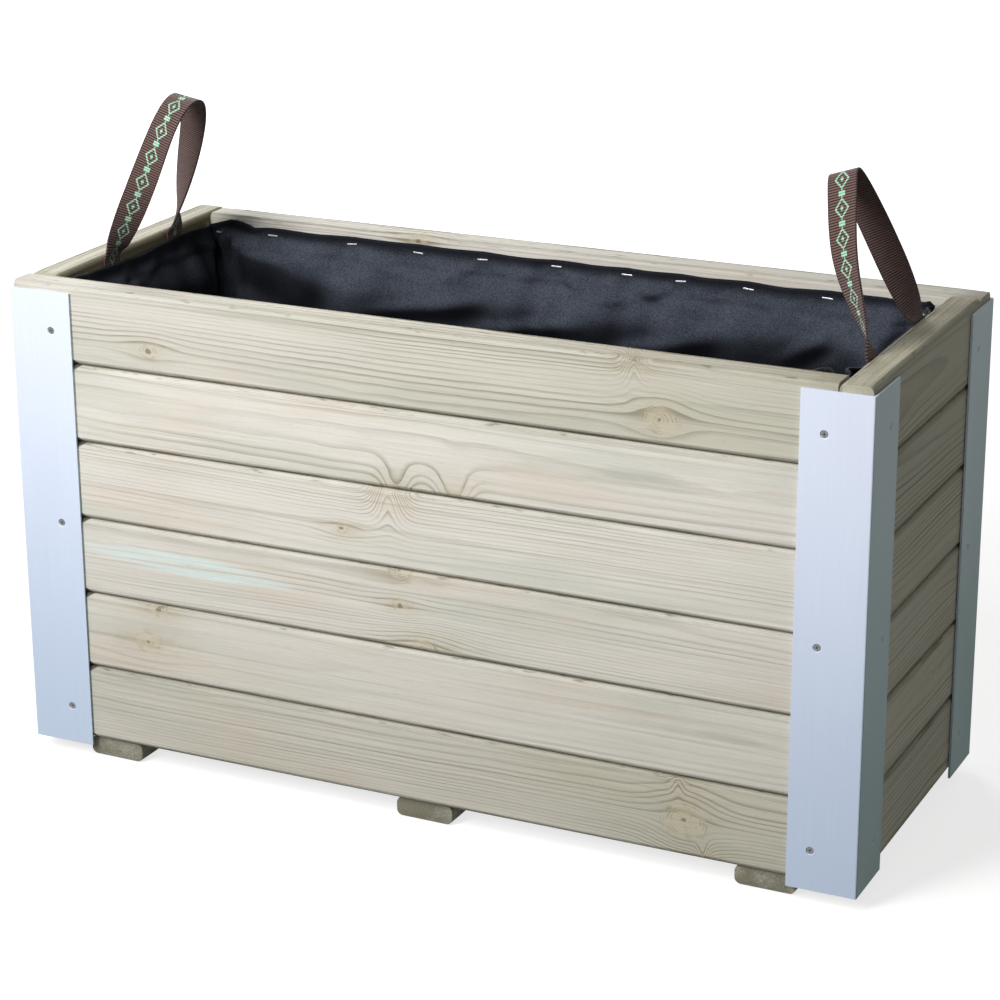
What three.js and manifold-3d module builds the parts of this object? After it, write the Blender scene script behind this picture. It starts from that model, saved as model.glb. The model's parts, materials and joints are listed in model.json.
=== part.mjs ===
// Timber planter box: softwood boards stacked in four walls, held together by metal
// corner angles, standing on cross bearers, with a board floor, a fabric liner and a
// webbing handle at each end. Millimetres, +Z up. The origin is on the ground under the
// middle of the box, +X runs along the box and -Y faces the front.

import * as THREE from 'three';
import { mergeVertices } from 'three/addons/utils/BufferGeometryUtils.js';
import Module from 'manifold-3d';

const wasm = await Module();
wasm.setup();

// Walls
const LENGTH = 776; // over the outer faces of the two end walls
const WIDTH = 310; // over the outer faces of the front and back walls
const COURSES = 6; // boards stacked in each wall
const BOARD_FACE = 69.7; // height of one wall board
const BOARD_THICKNESS = 28;
const BOARD_EDGE_RADIUS = 5; // rounding along a wall board's long edges
const FIT_GAP = 0.3; // between pieces that touch

// Corner angles
const ANGLE_FLANGE = 60; // outside width of each flange
const ANGLE_THICKNESS = 2;
const ANGLE_LENGTH = 420;
const ANGLE_DROP = 6.5; // top of the walls down to the top of an angle
const ANGLE_INNER_RADIUS = 0.8;

// Countersunk screws through the angles
const SCREWS_PER_FLANGE = 3;
const SCREW_END_MARGIN = 35; // from an angle's ends to the first and last screws
const SCREW_JOINT_DISTANCE = 9.4; // from the butted board's end to the line of screws
const SCREW_HEAD_RADIUS = 3.1;
const SCREW_SHANK_RADIUS = 1.6;
const SCREW_HEAD_SINK = 0.2; // head's face below the flange's face
const SCREW_RECESS_RADIUS = 1.5;
const SCREW_RECESS_DEPTH = 1.1;
const SCREW_POINT_LENGTH = 4;
const SCREW_COVER = 5; // wood left in front of a screw's point

// Cross bearers under the walls
const BEARERS = 3;
const BEARER_WIDTH = 54;
const BEARER_THICKNESS = 18;
const BEARER_EDGE_RADIUS = 6;
const BEARER_SETBACK = 5; // bearer ends behind the front and back faces
const BEARER_INSET = 78; // from the ends of the walls to the outer bearers' middles

// Floor boards on the bearers
const FLOOR_BOARDS = 2;
const FLOOR_THICKNESS = 20;
const FLOOR_EDGE_RADIUS = 4;
const DRAIN_GAP = 5; // beside and between the floor boards
const FLOOR_END_GAP = 3;

// Fabric liner
const LINER_THICKNESS = 1.2;
const HEM_THICKNESS = 2.4; // fabric turned over along the top
const HEM_DEPTH = 22;
const HEM_DROP = 7; // top of the walls down to the hem
const SWAG_DEPTH = 9; // how far the fabric hangs in below the hem
const SWAG_DROP = 75; // from the hem down to the deepest part of a swag
const SWAG_PITCH = 235; // between swags along a wall
const GATHER_DEPTH = 7; // pleats beside the corners
const GATHER_PITCH = 34;
const GATHER_REACH = 56; // from a corner to the last pleat

// Webbing handles
const WEBBING_WIDTH = 25;
const WEBBING_THICKNESS = 1.6;
const LEFT_HANDLE_SPREAD = 106; // between the middles of a handle's two feet
const RIGHT_HANDLE_SPREAD = 120;
const LEFT_HANDLE_OFFSET = 8.5; // from the middle of the wall to the middle of the handle
const RIGHT_HANDLE_OFFSET = -12.5;
const LEFT_HANDLE_RISE = 147.5; // from the hinge line to the crown, along the loop
const RIGHT_HANDLE_RISE = 141.5;
const LEFT_HANDLE_CROWN = 40; // half width over which the crown turns
const RIGHT_HANDLE_CROWN = 19;
const LEFT_CROWN_ROLL = 10; // degrees that the crown is rolled back towards level
const RIGHT_CROWN_ROLL = 1.5;
const LEFT_LEG_BOW = 2; // how far a handle's front leg bows in
const RIGHT_LEG_BOW = 7;
const HANDLE_SHOULDER = 45; // height up to which the legs run straight
const HANDLE_DRAW = 16; // how far each leg draws in on the way to its shoulder
const HANDLE_FOOT = 16; // length over which a leg leaves its level end
const HANDLE_LEAN = 20; // degrees that the loops lean in over the box
const LEG_TWIST = 0.8; // below 1, more of a leg's quarter turn lies towards its foot
const HINGE_RISE = 3; // hinge line above the hem

const COURSE_PITCH = BOARD_FACE + FIT_GAP;
const WALL_BASE = BEARER_THICKNESS + FIT_GAP;
const WALL_TOP = WALL_BASE + COURSES * COURSE_PITCH - FIT_GAP;
const ANGLE_BASE = WALL_TOP - ANGLE_DROP - ANGLE_LENGTH;
const ANGLE_FACE = FIT_GAP + ANGLE_THICKNESS; // flange's outer face in front of the boards
const SCREW_LINE = BOARD_THICKNESS + FIT_GAP + SCREW_JOINT_DISTANCE; // from the boards' corner
const SCREW_REACH = ANGLE_FACE + BOARD_THICKNESS - SCREW_COVER - SCREW_HEAD_SINK;
const SCREW_HEAD_DEPTH = SCREW_HEAD_RADIUS - SCREW_SHANK_RADIUS;
const INSIDE_X = LENGTH / 2 - BOARD_THICKNESS; // middle of the box to an end wall's inner face
const INSIDE_Y = WIDTH / 2 - BOARD_THICKNESS;
const FLOOR_BASE = BEARER_THICKNESS + FIT_GAP;
const LINER_BASE = FLOOR_BASE + FLOOR_THICKNESS + FIT_GAP;
const LINER_STANDOFF = WEBBING_THICKNESS + 2 * FIT_GAP; // room for the handle ends behind it
const HEM_TOP = WALL_TOP - HEM_DROP;
const HINGE_HEIGHT = HEM_TOP + HINGE_RISE;
const HINGE_X = INSIDE_X - FIT_GAP - WEBBING_THICKNESS / 2;

const timber = new THREE.MeshStandardMaterial({ color: 0xb3a47f, roughness: 0.78, metalness: 0 });
const damp = new THREE.MeshStandardMaterial({ color: 0x8a8262, roughness: 0.85, metalness: 0 });
const alloy = new THREE.MeshStandardMaterial({ color: 0xc9d2d6, roughness: 0.38, metalness: 0.9 });
const steel = new THREE.MeshStandardMaterial({ color: 0x6d7276, roughness: 0.35, metalness: 1 });
const felt = new THREE.MeshStandardMaterial({ color: 0x15171b, roughness: 0.8, metalness: 0 });
const webbing = new THREE.MeshStandardMaterial({ color: 0x4a382b, roughness: 0.75, metalness: 0 });

function piece(name, geometry, material) {
  const mesh = new THREE.Mesh(geometry, material);
  mesh.name = name;
  return mesh;
}

// A bar along +X with rounded long edges, from the origin to (length, depth, height).
function bar(length, depth, height, edgeRadius) {
  const r = Math.min(edgeRadius, depth / 2, height / 2);
  const section = new THREE.Shape();
  section.moveTo(r, 0);
  section.lineTo(depth - r, 0);
  section.absarc(depth - r, r, r, -Math.PI / 2, 0, false);
  section.lineTo(depth, height - r);
  section.absarc(depth - r, height - r, r, 0, Math.PI / 2, false);
  section.lineTo(r, height);
  section.absarc(r, height - r, r, Math.PI / 2, Math.PI, false);
  section.lineTo(0, r);
  section.absarc(r, r, r, Math.PI, 1.5 * Math.PI, false);
  const geometry = new THREE.ExtrudeGeometry(section, {
    depth: length,
    bevelEnabled: false,
    curveSegments: 2,
  });
  const alongX = new THREE.Matrix4().set(0, 0, 1, 0, 1, 0, 0, 0, 0, 1, 0, 0, 0, 0, 0, 1);
  return geometry.applyMatrix4(alongX);
}

// A round shape about +Y from [radius, height] pairs that start and end on the axis.
function turned(profile, sides) {
  return new THREE.LatheGeometry(profile.map(([r, y]) => new THREE.Vector2(r, y)), sides);
}

function toSolid(geometry) {
  const bare = geometry.clone();
  bare.deleteAttribute('normal');
  bare.deleteAttribute('uv');
  const merged = mergeVertices(bare, 1e-4);
  const corners = merged.attributes.position.array;
  const triVerts = [];
  for (let i = 0; i < merged.index.count; i += 3) {
    const [a, b, c] = [0, 1, 2].map((k) => merged.index.getX(i + k));
    if (a !== b && b !== c && c !== a) triVerts.push(a, b, c);
  }
  return new wasm.Manifold(new wasm.Mesh({
    numProp: 3,
    vertProperties: new Float32Array(corners),
    triVerts: new Uint32Array(triVerts),
  }));
}

function cut(geometry, tools) {
  let solid = toSolid(geometry);
  for (const tool of tools) solid = solid.subtract(toSolid(tool));
  const mesh = solid.getMesh();
  const result = new THREE.BufferGeometry();
  result.setAttribute('position', new THREE.BufferAttribute(mesh.vertProperties, 3));
  result.setIndex(new THREE.BufferAttribute(mesh.triVerts, 1));
  return result;
}

// A closed body over rings of points that turn anticlockwise about the way they advance.
// mirrored says which of its four-sided patches are split along the other diagonal, so that
// the two faces of a thin sheet are split alike. ends gives the triangles of an end ring.
function skin(rings, mirrored, ends) {
  const n = rings[0].length;
  const index = [];
  for (let r = 0; r + 1 < rings.length; r++) {
    for (let i = 0; i < n; i++) {
      const a = r * n + i;
      const b = r * n + ((i + 1) % n);
      if (mirrored(r, i)) index.push(a, b, a + n, b, b + n, a + n);
      else index.push(a, b, b + n, a, b + n, a + n);
    }
  }
  const last = (rings.length - 1) * n;
  for (const [a, b, c] of ends(rings[0])) index.push(a, c, b);
  for (const [a, b, c] of ends(rings[rings.length - 1])) index.push(last + a, last + b, last + c);
  const geometry = new THREE.BufferGeometry();
  const points = rings.flat().flatMap((p) => [p.x, p.y, p.z]);
  geometry.setAttribute('position', new THREE.Float32BufferAttribute(points, 3));
  geometry.setIndex(index);
  return geometry;
}

const screwHeights = Array.from({ length: SCREWS_PER_FLANGE }, (_, i) => {
  const share = SCREWS_PER_FLANGE > 1 ? i / (SCREWS_PER_FLANGE - 1) : 0.5;
  return ANGLE_BASE + SCREW_END_MARGIN + share * (ANGLE_LENGTH - 2 * SCREW_END_MARGIN);
});

// Screw, countersink and pilot hole all lie on +Y, with y = 0 at the flange's outer face.
const screwGeometry = turned([
  [0, SCREW_HEAD_SINK + SCREW_RECESS_DEPTH],
  [SCREW_RECESS_RADIUS, SCREW_HEAD_SINK],
  [SCREW_HEAD_RADIUS, SCREW_HEAD_SINK],
  [SCREW_SHANK_RADIUS, SCREW_HEAD_SINK + SCREW_HEAD_DEPTH],
  [SCREW_SHANK_RADIUS, SCREW_HEAD_SINK + SCREW_REACH - SCREW_POINT_LENGTH],
  [0, SCREW_HEAD_SINK + SCREW_REACH],
], 10);
const countersink = turned([
  [0, -1],
  [SCREW_HEAD_RADIUS + FIT_GAP, -1],
  [SCREW_HEAD_RADIUS + FIT_GAP, SCREW_HEAD_SINK],
  [SCREW_SHANK_RADIUS + FIT_GAP, SCREW_HEAD_SINK + SCREW_HEAD_DEPTH],
  [SCREW_SHANK_RADIUS + FIT_GAP, ANGLE_THICKNESS + 1],
  [0, ANGLE_THICKNESS + 1],
], 10);
const pilot = turned([
  [0, 0],
  [SCREW_SHANK_RADIUS + FIT_GAP, 0],
  [SCREW_SHANK_RADIUS + FIT_GAP, SCREW_HEAD_SINK + SCREW_REACH + FIT_GAP],
  [0, SCREW_HEAD_SINK + SCREW_REACH + FIT_GAP],
], 10);

// One wall in its own frame: its boards run along +X from the corner that they cover to
// the corner where they butt against the next wall, and its outer face looks along -Y.
// Each wall carries the angle at the corner that it covers.
function wall(name, corner, run, span) {
  const group = new THREE.Group();
  const start = -run / 2;
  const face = -span / 2;
  const boardLength = run - BOARD_THICKNESS - FIT_GAP;
  const screwStations = [start + SCREW_LINE, -start - SCREW_LINE];
  for (let course = 0; course < COURSES; course++) {
    const base = WALL_BASE + course * COURSE_PITCH;
    const board = bar(boardLength, BOARD_THICKNESS, BOARD_FACE, BOARD_EDGE_RADIUS);
    const reach = SCREW_SHANK_RADIUS + FIT_GAP;
    const crossed = screwHeights.filter((z) => z > base - reach && z < base + BOARD_FACE + reach);
    const holes = crossed.flatMap((z) => screwStations.map((x) => (
      pilot.clone().translate(x - start, -ANGLE_FACE, z - base)
    )));
    const mesh = piece(`${name}_board_${course + 1}`, cut(board, holes), timber);
    mesh.position.set(start, face, base);
    group.add(mesh);
  }
  group.add(cornerAngle(corner, start, face));
  for (const [flange, turn] of [['near', 0], ['far', 1]]) {
    screwHeights.forEach((z, i) => {
      const screw = piece(`${corner}_screw_${flange}_${i + 1}`, screwGeometry.clone(), steel);
      if (turn) {
        screw.position.set(start - ANGLE_FACE, face + SCREW_LINE, z);
        screw.rotation.z = -Math.PI / 2;
      } else {
        screw.position.set(start + SCREW_LINE, face - ANGLE_FACE, z);
      }
      group.add(screw);
    });
  }
  return group;
}

// The L of an angle, with the boards' corner at its own origin and flanges along +X and +Y.
function cornerAngle(corner, x, y) {
  const inner = -FIT_GAP;
  const outer = -ANGLE_FACE;
  const end = outer + ANGLE_FLANGE;
  const ri = ANGLE_INNER_RADIUS;
  const ro = ANGLE_INNER_RADIUS + ANGLE_THICKNESS;
  const section = new THREE.Shape();
  section.moveTo(outer + ro, outer);
  section.lineTo(end, outer);
  section.lineTo(end, inner);
  section.lineTo(inner + ri, inner);
  section.absarc(inner + ri, inner + ri, ri, -Math.PI / 2, -Math.PI, true);
  section.lineTo(inner, end);
  section.lineTo(outer, end);
  section.lineTo(outer, outer + ro);
  section.absarc(outer + ro, outer + ro, ro, Math.PI, 1.5 * Math.PI, false);
  const bar = new THREE.ExtrudeGeometry(section, {
    depth: ANGLE_LENGTH,
    bevelEnabled: false,
    curveSegments: 3,
  });
  const holes = screwHeights.flatMap((z) => [
    countersink.clone().translate(SCREW_LINE, outer, z - ANGLE_BASE),
    countersink.clone().rotateZ(-Math.PI / 2).translate(outer, SCREW_LINE, z - ANGLE_BASE),
  ]);
  const mesh = piece(`${corner}_angle`, cut(bar, holes), alloy);
  mesh.position.set(x, y, ANGLE_BASE);
  return mesh;
}

const planter = new THREE.Group();

// Front, right, back and left walls follow one another round the box, each a quarter turn on.
const walls = [
  ['front', 'front_left', LENGTH, WIDTH],
  ['right', 'front_right', WIDTH, LENGTH],
  ['back', 'back_right', LENGTH, WIDTH],
  ['left', 'back_left', WIDTH, LENGTH],
];
walls.forEach(([name, corner, run, span], quarter) => {
  const group = wall(name, corner, run, span);
  group.rotation.z = quarter * Math.PI / 2;
  planter.add(group);
});

// Bearers run across the box under the front and back walls.
const bearerLength = WIDTH - 2 * BEARER_SETBACK;
const bearerReach = LENGTH / 2 - BEARER_INSET;
for (let i = 0; i < BEARERS; i++) {
  const share = BEARERS > 1 ? (2 * i) / (BEARERS - 1) - 1 : 0;
  const shape = bar(bearerLength, BEARER_WIDTH, BEARER_THICKNESS, BEARER_EDGE_RADIUS);
  const mesh = piece(`bearer_${i + 1}`, shape, damp);
  mesh.position.set(share * bearerReach + BEARER_WIDTH / 2, -bearerLength / 2, 0);
  mesh.rotation.z = Math.PI / 2;
  planter.add(mesh);
}

// Floor boards lie along the box on the bearers, with gaps that let water out.
const floorLength = 2 * (INSIDE_X - FLOOR_END_GAP);
const floorWidth = (2 * INSIDE_Y - (FLOOR_BOARDS + 1) * DRAIN_GAP) / FLOOR_BOARDS;
for (let i = 0; i < FLOOR_BOARDS; i++) {
  const shape = bar(floorLength, floorWidth, FLOOR_THICKNESS, FLOOR_EDGE_RADIUS);
  const mesh = piece(`floor_board_${i + 1}`, shape, damp);
  mesh.position.set(-floorLength / 2, -INSIDE_Y + DRAIN_GAP + i * (floorWidth + DRAIN_GAP), FLOOR_BASE);
  planter.add(mesh);
}

// The liner is an open bag. Its rings of points run round the inside of the walls, closer
// together near the corners, and are drawn in by the folds of the fabric.
const LINER_DEPTH = HEM_TOP - LINER_BASE;
const ease = (low, high, value) => THREE.MathUtils.smoothstep(value, low, high);

const linerPlaces = walls.flatMap((_, quarter) => {
  const [half, out, count] = quarter % 2 ? [INSIDE_Y, INSIDE_X, 12] : [INSIDE_X, INSIDE_Y, 18];
  return Array.from({ length: count }, (__, i) => {
    const along = -half * Math.cos((Math.PI * i) / count);
    return { along, half, out, corner: half - Math.abs(along), quarter };
  });
});

function linerInset({ along, corner, quarter }, drop) {
  const hang = ease(0, SWAG_DROP, drop) * (1 - 0.7 * ease(SWAG_DROP, LINER_DEPTH, drop));
  const sway = 0.6 + 0.4 * Math.cos((2 * Math.PI * along) / SWAG_PITCH + 1.9 * quarter);
  const pleat = 0.5 - 0.5 * Math.cos((2 * Math.PI * corner) / GATHER_PITCH);
  const taper = (1 - ease(0.4 * GATHER_REACH, GATHER_REACH, corner)) * ease(0, HEM_DEPTH, drop + 4);
  const gather = GATHER_DEPTH * pleat * taper * (1 - 0.8 * ease(0, LINER_DEPTH, drop));
  return LINER_STANDOFF + SWAG_DEPTH * hang * sway * ease(0, GATHER_REACH, corner) + gather;
}

function linerRing(drop, layer) {
  const lift = layer > 0 && drop > HEM_DEPTH ? LINER_THICKNESS : 0;
  const height = Math.max(HEM_TOP - drop, LINER_BASE + lift);
  return linerPlaces.map((place) => {
    const inset = linerInset(place, drop) + layer;
    const point = new THREE.Vector3(place.along * (1 - inset / place.half), inset - place.out, height);
    return point.applyAxisAngle(new THREE.Vector3(0, 0, 1), (place.quarter * Math.PI) / 2);
  });
}

const LINER_RINGS = 8;
const linerDrops = [0, HEM_DEPTH];
for (let i = 1; i <= LINER_RINGS; i++) {
  linerDrops.push(HEM_DEPTH + (LINER_DEPTH - HEM_DEPTH) * (i / LINER_RINGS) ** 1.5);
}
const outside = linerDrops.map((drop) => linerRing(drop, 0)).reverse();
const inside = linerDrops.map((drop) => linerRing(drop, drop > HEM_DEPTH ? LINER_THICKNESS : HEM_THICKNESS));
const innerFace = (ring) => ring >= outside.length;
const linerBottom = (ring) => (
  THREE.ShapeUtils.triangulateShape(ring.map((p) => new THREE.Vector2(p.x, p.y)), [])
);
planter.add(piece('liner', skin([...outside, ...inside], innerFace, linerBottom), felt));

// A handle is one length of webbing: flat against the wall at its feet, it turns a quarter
// round on its way up each leg. The loop is drawn upright about its hinge line.
function handleLoop(side, spread, offset, rise, crown, roll, bow) {
  const foot = spread / 2;
  const leg = new THREE.CubicBezierCurve(
    new THREE.Vector2(-foot, 0),
    new THREE.Vector2(HANDLE_DRAW - foot, HANDLE_SHOULDER),
    new THREE.Vector2(-crown, rise),
    new THREE.Vector2(0, rise),
  );
  const steps = 24;
  const rings = [];
  for (let i = 0; i <= 2 * steps; i++) {
    const far = i > steps;
    const share = far ? 2 - i / steps : i / steps;
    const spot = leg.getPointAt(share);
    const slope = leg.getTangentAt(share);
    const bulge = far ? 0 : bow * Math.sin(Math.PI * share) ** 2;
    const middle = new THREE.Vector3(bulge, offset + (far ? -spot.x : spot.x), spot.y);
    const along = new THREE.Vector3(0, slope.x, far ? -slope.y : slope.y);
    const level = ease(0, HANDLE_FOOT, spot.y);
    const turned = level * Math.sin(share * Math.PI / 2) ** LEG_TWIST;
    const turn = THREE.MathUtils.degToRad(90 - (90 + roll) * turned);
    const across = new THREE.Vector3(0, along.z, -along.y * level).multiplyScalar(Math.sin(turn));
    across.x = Math.cos(turn);
    const through = new THREE.Vector3().crossVectors(along, across).setLength(WEBBING_THICKNESS / 2);
    across.setLength(WEBBING_WIDTH / 2);
    const ring = [[-1, -1], [1, -1], [1, 1], [-1, 1]].map(([u, v]) => (
      middle.clone().addScaledVector(across, u).addScaledVector(through, v)
    ));
    ring.forEach((p) => { p.x *= side; });
    rings.push(side > 0 ? ring : ring.reverse());
  }
  const backFace = (ring, patch) => patch >= 2;
  const strapEnd = () => [[0, 1, 2], [0, 2, 3]];
  return skin(rings, backFace, strapEnd);
}

const leftForm = [
  LEFT_HANDLE_SPREAD, LEFT_HANDLE_OFFSET, LEFT_HANDLE_RISE, LEFT_HANDLE_CROWN, LEFT_CROWN_ROLL, LEFT_LEG_BOW,
];
const rightForm = [
  RIGHT_HANDLE_SPREAD, RIGHT_HANDLE_OFFSET, RIGHT_HANDLE_RISE, RIGHT_HANDLE_CROWN, RIGHT_CROWN_ROLL, RIGHT_LEG_BOW,
];
for (const [name, side, form] of [['left_handle', 1, leftForm], ['right_handle', -1, rightForm]]) {
  const hinge = new THREE.Group();
  hinge.position.set(-side * HINGE_X, 0, HINGE_HEIGHT);
  hinge.rotation.y = side * THREE.MathUtils.degToRad(HANDLE_LEAN);
  hinge.add(piece(name, handleLoop(side, ...form), webbing));
  planter.add(hinge);
}

export default planter;
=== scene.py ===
"""Wooden planter: timber walls, metal corner angles, a fabric liner and webbing handles."""

import json
import math
import random

import bmesh
import bpy
import numpy as np
from mathutils import Euler, Matrix, Vector, noise


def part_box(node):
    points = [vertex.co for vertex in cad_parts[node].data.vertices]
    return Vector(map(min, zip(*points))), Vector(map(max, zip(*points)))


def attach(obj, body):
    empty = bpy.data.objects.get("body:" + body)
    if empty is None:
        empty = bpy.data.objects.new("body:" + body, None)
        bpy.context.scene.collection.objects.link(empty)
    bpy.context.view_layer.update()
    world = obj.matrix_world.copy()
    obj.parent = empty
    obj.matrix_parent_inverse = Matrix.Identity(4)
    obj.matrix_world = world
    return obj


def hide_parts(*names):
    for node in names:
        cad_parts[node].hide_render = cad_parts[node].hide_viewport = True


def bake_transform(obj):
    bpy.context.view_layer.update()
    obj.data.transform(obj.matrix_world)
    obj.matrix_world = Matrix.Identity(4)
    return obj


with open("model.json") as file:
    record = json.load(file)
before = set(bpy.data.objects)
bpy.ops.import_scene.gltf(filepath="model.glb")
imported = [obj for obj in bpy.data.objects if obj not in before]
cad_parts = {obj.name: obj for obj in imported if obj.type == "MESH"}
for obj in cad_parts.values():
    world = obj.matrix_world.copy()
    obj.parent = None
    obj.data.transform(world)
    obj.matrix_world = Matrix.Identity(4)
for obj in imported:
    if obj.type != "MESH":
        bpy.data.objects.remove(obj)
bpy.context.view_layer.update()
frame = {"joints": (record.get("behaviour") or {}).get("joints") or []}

bl_info = {
    "name": "Wooden planter",
    "version": (1, 0, 0),
    "blender": (4, 5, 0),
    "location": "View3D > Sidebar > Planter",
    "description": "Models a timber planter with a liner and webbing handles over its packed frame",
    "category": "Mesh",
}

WALLS = ("front", "right", "back", "left")
CORNERS = ("front_left", "front_right", "back_right", "back_left")
ENDS = ("left", "right")
COURSES = 6
LINER_LOW, LINER_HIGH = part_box("liner")
ANGLE_EDGE_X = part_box("front_left_angle")[1].x
WALL_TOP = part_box("front_board_6")[1].z
HINGE_X = -frame["joints"][0]["pos_m"][0]
HINGE_Z = frame["joints"][0]["pos_m"][2]


# Sizes and colours


def length(name, text, value, low, high):
    """A length property in metres, with its limits."""
    return bpy.props.FloatProperty(
        name=name, description=text, default=value, min=low, max=high, unit="LENGTH")


class PlanterSizes(bpy.types.PropertyGroup):
    """Sizes of the pieces that the frame doesn't give."""

    board_edge: length("Board edge", "Radius of the boards' long edges", 0.005, 0.001, 0.012)
    bearer_edge: length("Bearer edge", "Radius of the bearers' long edges", 0.006, 0.001, 0.009)
    floor_edge: length("Floor edge", "Radius of the floor boards' long edges", 0.004, 0.001, 0.009)
    wear_depth: length("Wear depth", "How far the planed faces wander inwards", 0.0006, 0.0, 0.002)
    rough_depth: length("Rough depth", "How far the sawn faces wander inwards", 0.0009, 0.0, 0.002)
    angle_thickness: length("Angle thickness", "Thickness of the corner angles", 0.002, 0.001, 0.004)
    angle_corner: length("Angle corner", "Outer radius of the corner angles", 0.0014, 0.0004, 0.002)
    liner_thickness: length("Liner thickness", "Thickness of the doubled hem", 0.0022, 0.0008, 0.004)
    liner_slack: bpy.props.FloatProperty(
        name="Liner slack", description="Share by which the liner is cut larger than its place",
        default=0.022, min=0.0, max=0.06, subtype="FACTOR")
    staple_width: length("Staple width", "Length of a staple's crown", 0.0088, 0.006, 0.016)
    staple_drop: length("Staple drop", "Depth of the staples below the hem", 0.0065, 0.002, 0.02)
    webbing_width: length("Webbing width", "Width of the handles' webbing", 0.025, 0.02, 0.04)
    webbing_thickness: length("Webbing thickness", "Thickness of the webbing", 0.0016, 0.0008, 0.003)
    webbing_tail: length("Webbing tail", "Length of a strap's end behind the liner", 0.058, 0.02, 0.12)
    rib_pitch: length("Rib pitch", "Distance between the webbing's cross ribs", 0.0022, 0.001, 0.004)


def colour(name, text, value):
    """A colour property with its linear value."""
    return bpy.props.FloatVectorProperty(
        name=name, description=text, default=value, size=3, min=0.0, max=1.0, subtype="COLOR")


class PlanterColours(bpy.types.PropertyGroup):
    """Base colours of the finishes, as linear values."""

    timber: colour("Timber", "Pale early wood of the wall boards", (0.640, 0.612, 0.562))
    timber_line: colour("Grain line", "Late wood lines of the wall boards", (0.345, 0.318, 0.255))
    timber_green: colour("Green cast", "Cast of the pressure treatment", (0.530, 0.536, 0.468))
    timber_warm: colour("Warm cast", "Warmer patches of the boards", (0.618, 0.552, 0.472))
    timber_blue: colour("Blue cast", "Pale streaks of dried salts", (0.630, 0.745, 0.735))
    knot: colour("Knot", "Rings of the knots", (0.300, 0.245, 0.150))
    bearer: colour("Bearer", "Rough timber of the bearers and floor", (0.125, 0.124, 0.094))
    bearer_line: colour("Bearer grain", "Grain of the bearers and floor", (0.072, 0.066, 0.045))
    aluminium: colour("Aluminium", "Brushed corner angles", (0.725, 0.786, 0.930))
    steel: colour("Steel", "Screws", (0.210, 0.214, 0.222))
    wire: colour("Wire", "Staples", (0.800, 0.820, 0.850))
    felt: colour("Liner", "Black liner fabric", (0.0058, 0.0062, 0.0082))
    # Also the colour of the painted light on the liner.
    felt_light: colour("Liner fibres", "Lighter fibres of the liner", (0.0690, 0.0780, 0.1020))
    webbing: colour("Webbing", "Ribs of the webbing", (0.235, 0.140, 0.126))
    # Painted shade: the near-black colour of the grooves between the ribs.
    webbing_groove_shade: colour("Webbing grooves", "Grooves between the ribs", (0.0130, 0.0076, 0.0066))
    motif: colour("Motif", "Woven diamonds on the webbing", (0.470, 0.830, 0.610))


def sizes():
    return bpy.context.scene.planter_sizes


def colours():
    return bpy.context.scene.planter_colours


# Modelling helpers


def deselect():
    if bpy.context.mode != "OBJECT":
        bpy.ops.object.mode_set(mode="OBJECT")
    bpy.ops.object.select_all(action="DESELECT")


def focus(piece):
    """Makes one piece the only selected and active one."""
    deselect()
    piece.select_set(True)
    bpy.context.view_layer.objects.active = piece


def settle(piece):
    """Puts a piece's place, turn and size into its mesh."""
    focus(piece)
    bpy.ops.object.transform_apply(location=True, rotation=True, scale=True)


def call(piece, name):
    piece.name = name
    piece.data.name = name


def block(name, low, high):
    """A box between two corners, as the start of a piece."""
    deselect()
    bpy.ops.mesh.primitive_cube_add(size=1, location=(low + high) / 2)
    piece = bpy.context.object
    call(piece, name)
    piece.scale = high - low
    settle(piece)
    return piece


def pick(piece, kind, test):
    """Goes into edit mode and selects what passes a test on its place or normal."""
    focus(piece)
    bpy.ops.object.mode_set(mode="EDIT")
    bpy.ops.mesh.select_mode(type=kind)
    bpy.ops.mesh.select_all(action="DESELECT")
    shape = bmesh.from_edit_mesh(piece.data)
    shape.normal_update()
    found = 0
    for item in {"VERT": shape.verts, "EDGE": shape.edges, "FACE": shape.faces}[kind]:
        if test(item):
            item.select_set(True)
            found += 1
    bmesh.update_edit_mesh(piece.data)
    if not found:
        raise RuntimeError(f"nothing to select on {piece.name}")


def leave():
    bpy.ops.object.mode_set(mode="OBJECT")


def extrude(x, y, z):
    """Draws the selection out."""
    bpy.ops.mesh.extrude_region_move(TRANSFORM_OT_translate={"value": (x, y, z)})


def bevel(width, segments):
    """Rounds the selected edges."""
    bpy.ops.mesh.bevel(offset=width, offset_type="OFFSET", segments=segments, affect="EDGES")


def flip(piece):
    """Turns all faces of a piece round."""
    pick(piece, "FACE", lambda face: True)
    bpy.ops.mesh.flip_normals()
    leave()


def direction(edge):
    return (edge.verts[1].co - edge.verts[0].co).normalized()


def copy_of(piece, name, shift=(0, 0, 0), turn=(0, 0, 0)):
    """A copy with its own mesh, turned about the origin and moved."""
    focus(piece)
    bpy.ops.object.duplicate(linked=False)
    twin = bpy.context.object
    call(twin, name)
    twin.rotation_euler = turn
    twin.location = shift
    settle(twin)
    return twin


def apply_modifier(piece, kind, **settings):
    """Adds a modifier, sets it and applies it."""
    focus(piece)
    modifier = piece.modifiers.new(kind.lower(), kind)
    for key, value in settings.items():
        setattr(modifier, key, value)
    bpy.ops.object.modifier_apply(modifier=modifier.name)


def soften(piece, width, segments, degrees):
    """Bevels the edges that turn by more than some degrees."""
    apply_modifier(
        piece, "BEVEL", width=width, segments=segments, limit_method="ANGLE",
        angle_limit=math.radians(degrees))


def smooth(piece, degrees):
    focus(piece)
    bpy.ops.object.shade_smooth_by_angle(angle=math.radians(degrees))


def places(piece):
    """The vertices of a piece as rows of coordinates."""
    co = np.empty(len(piece.data.vertices) * 3)
    piece.data.vertices.foreach_get("co", co)
    return co.reshape(-1, 3)


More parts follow.
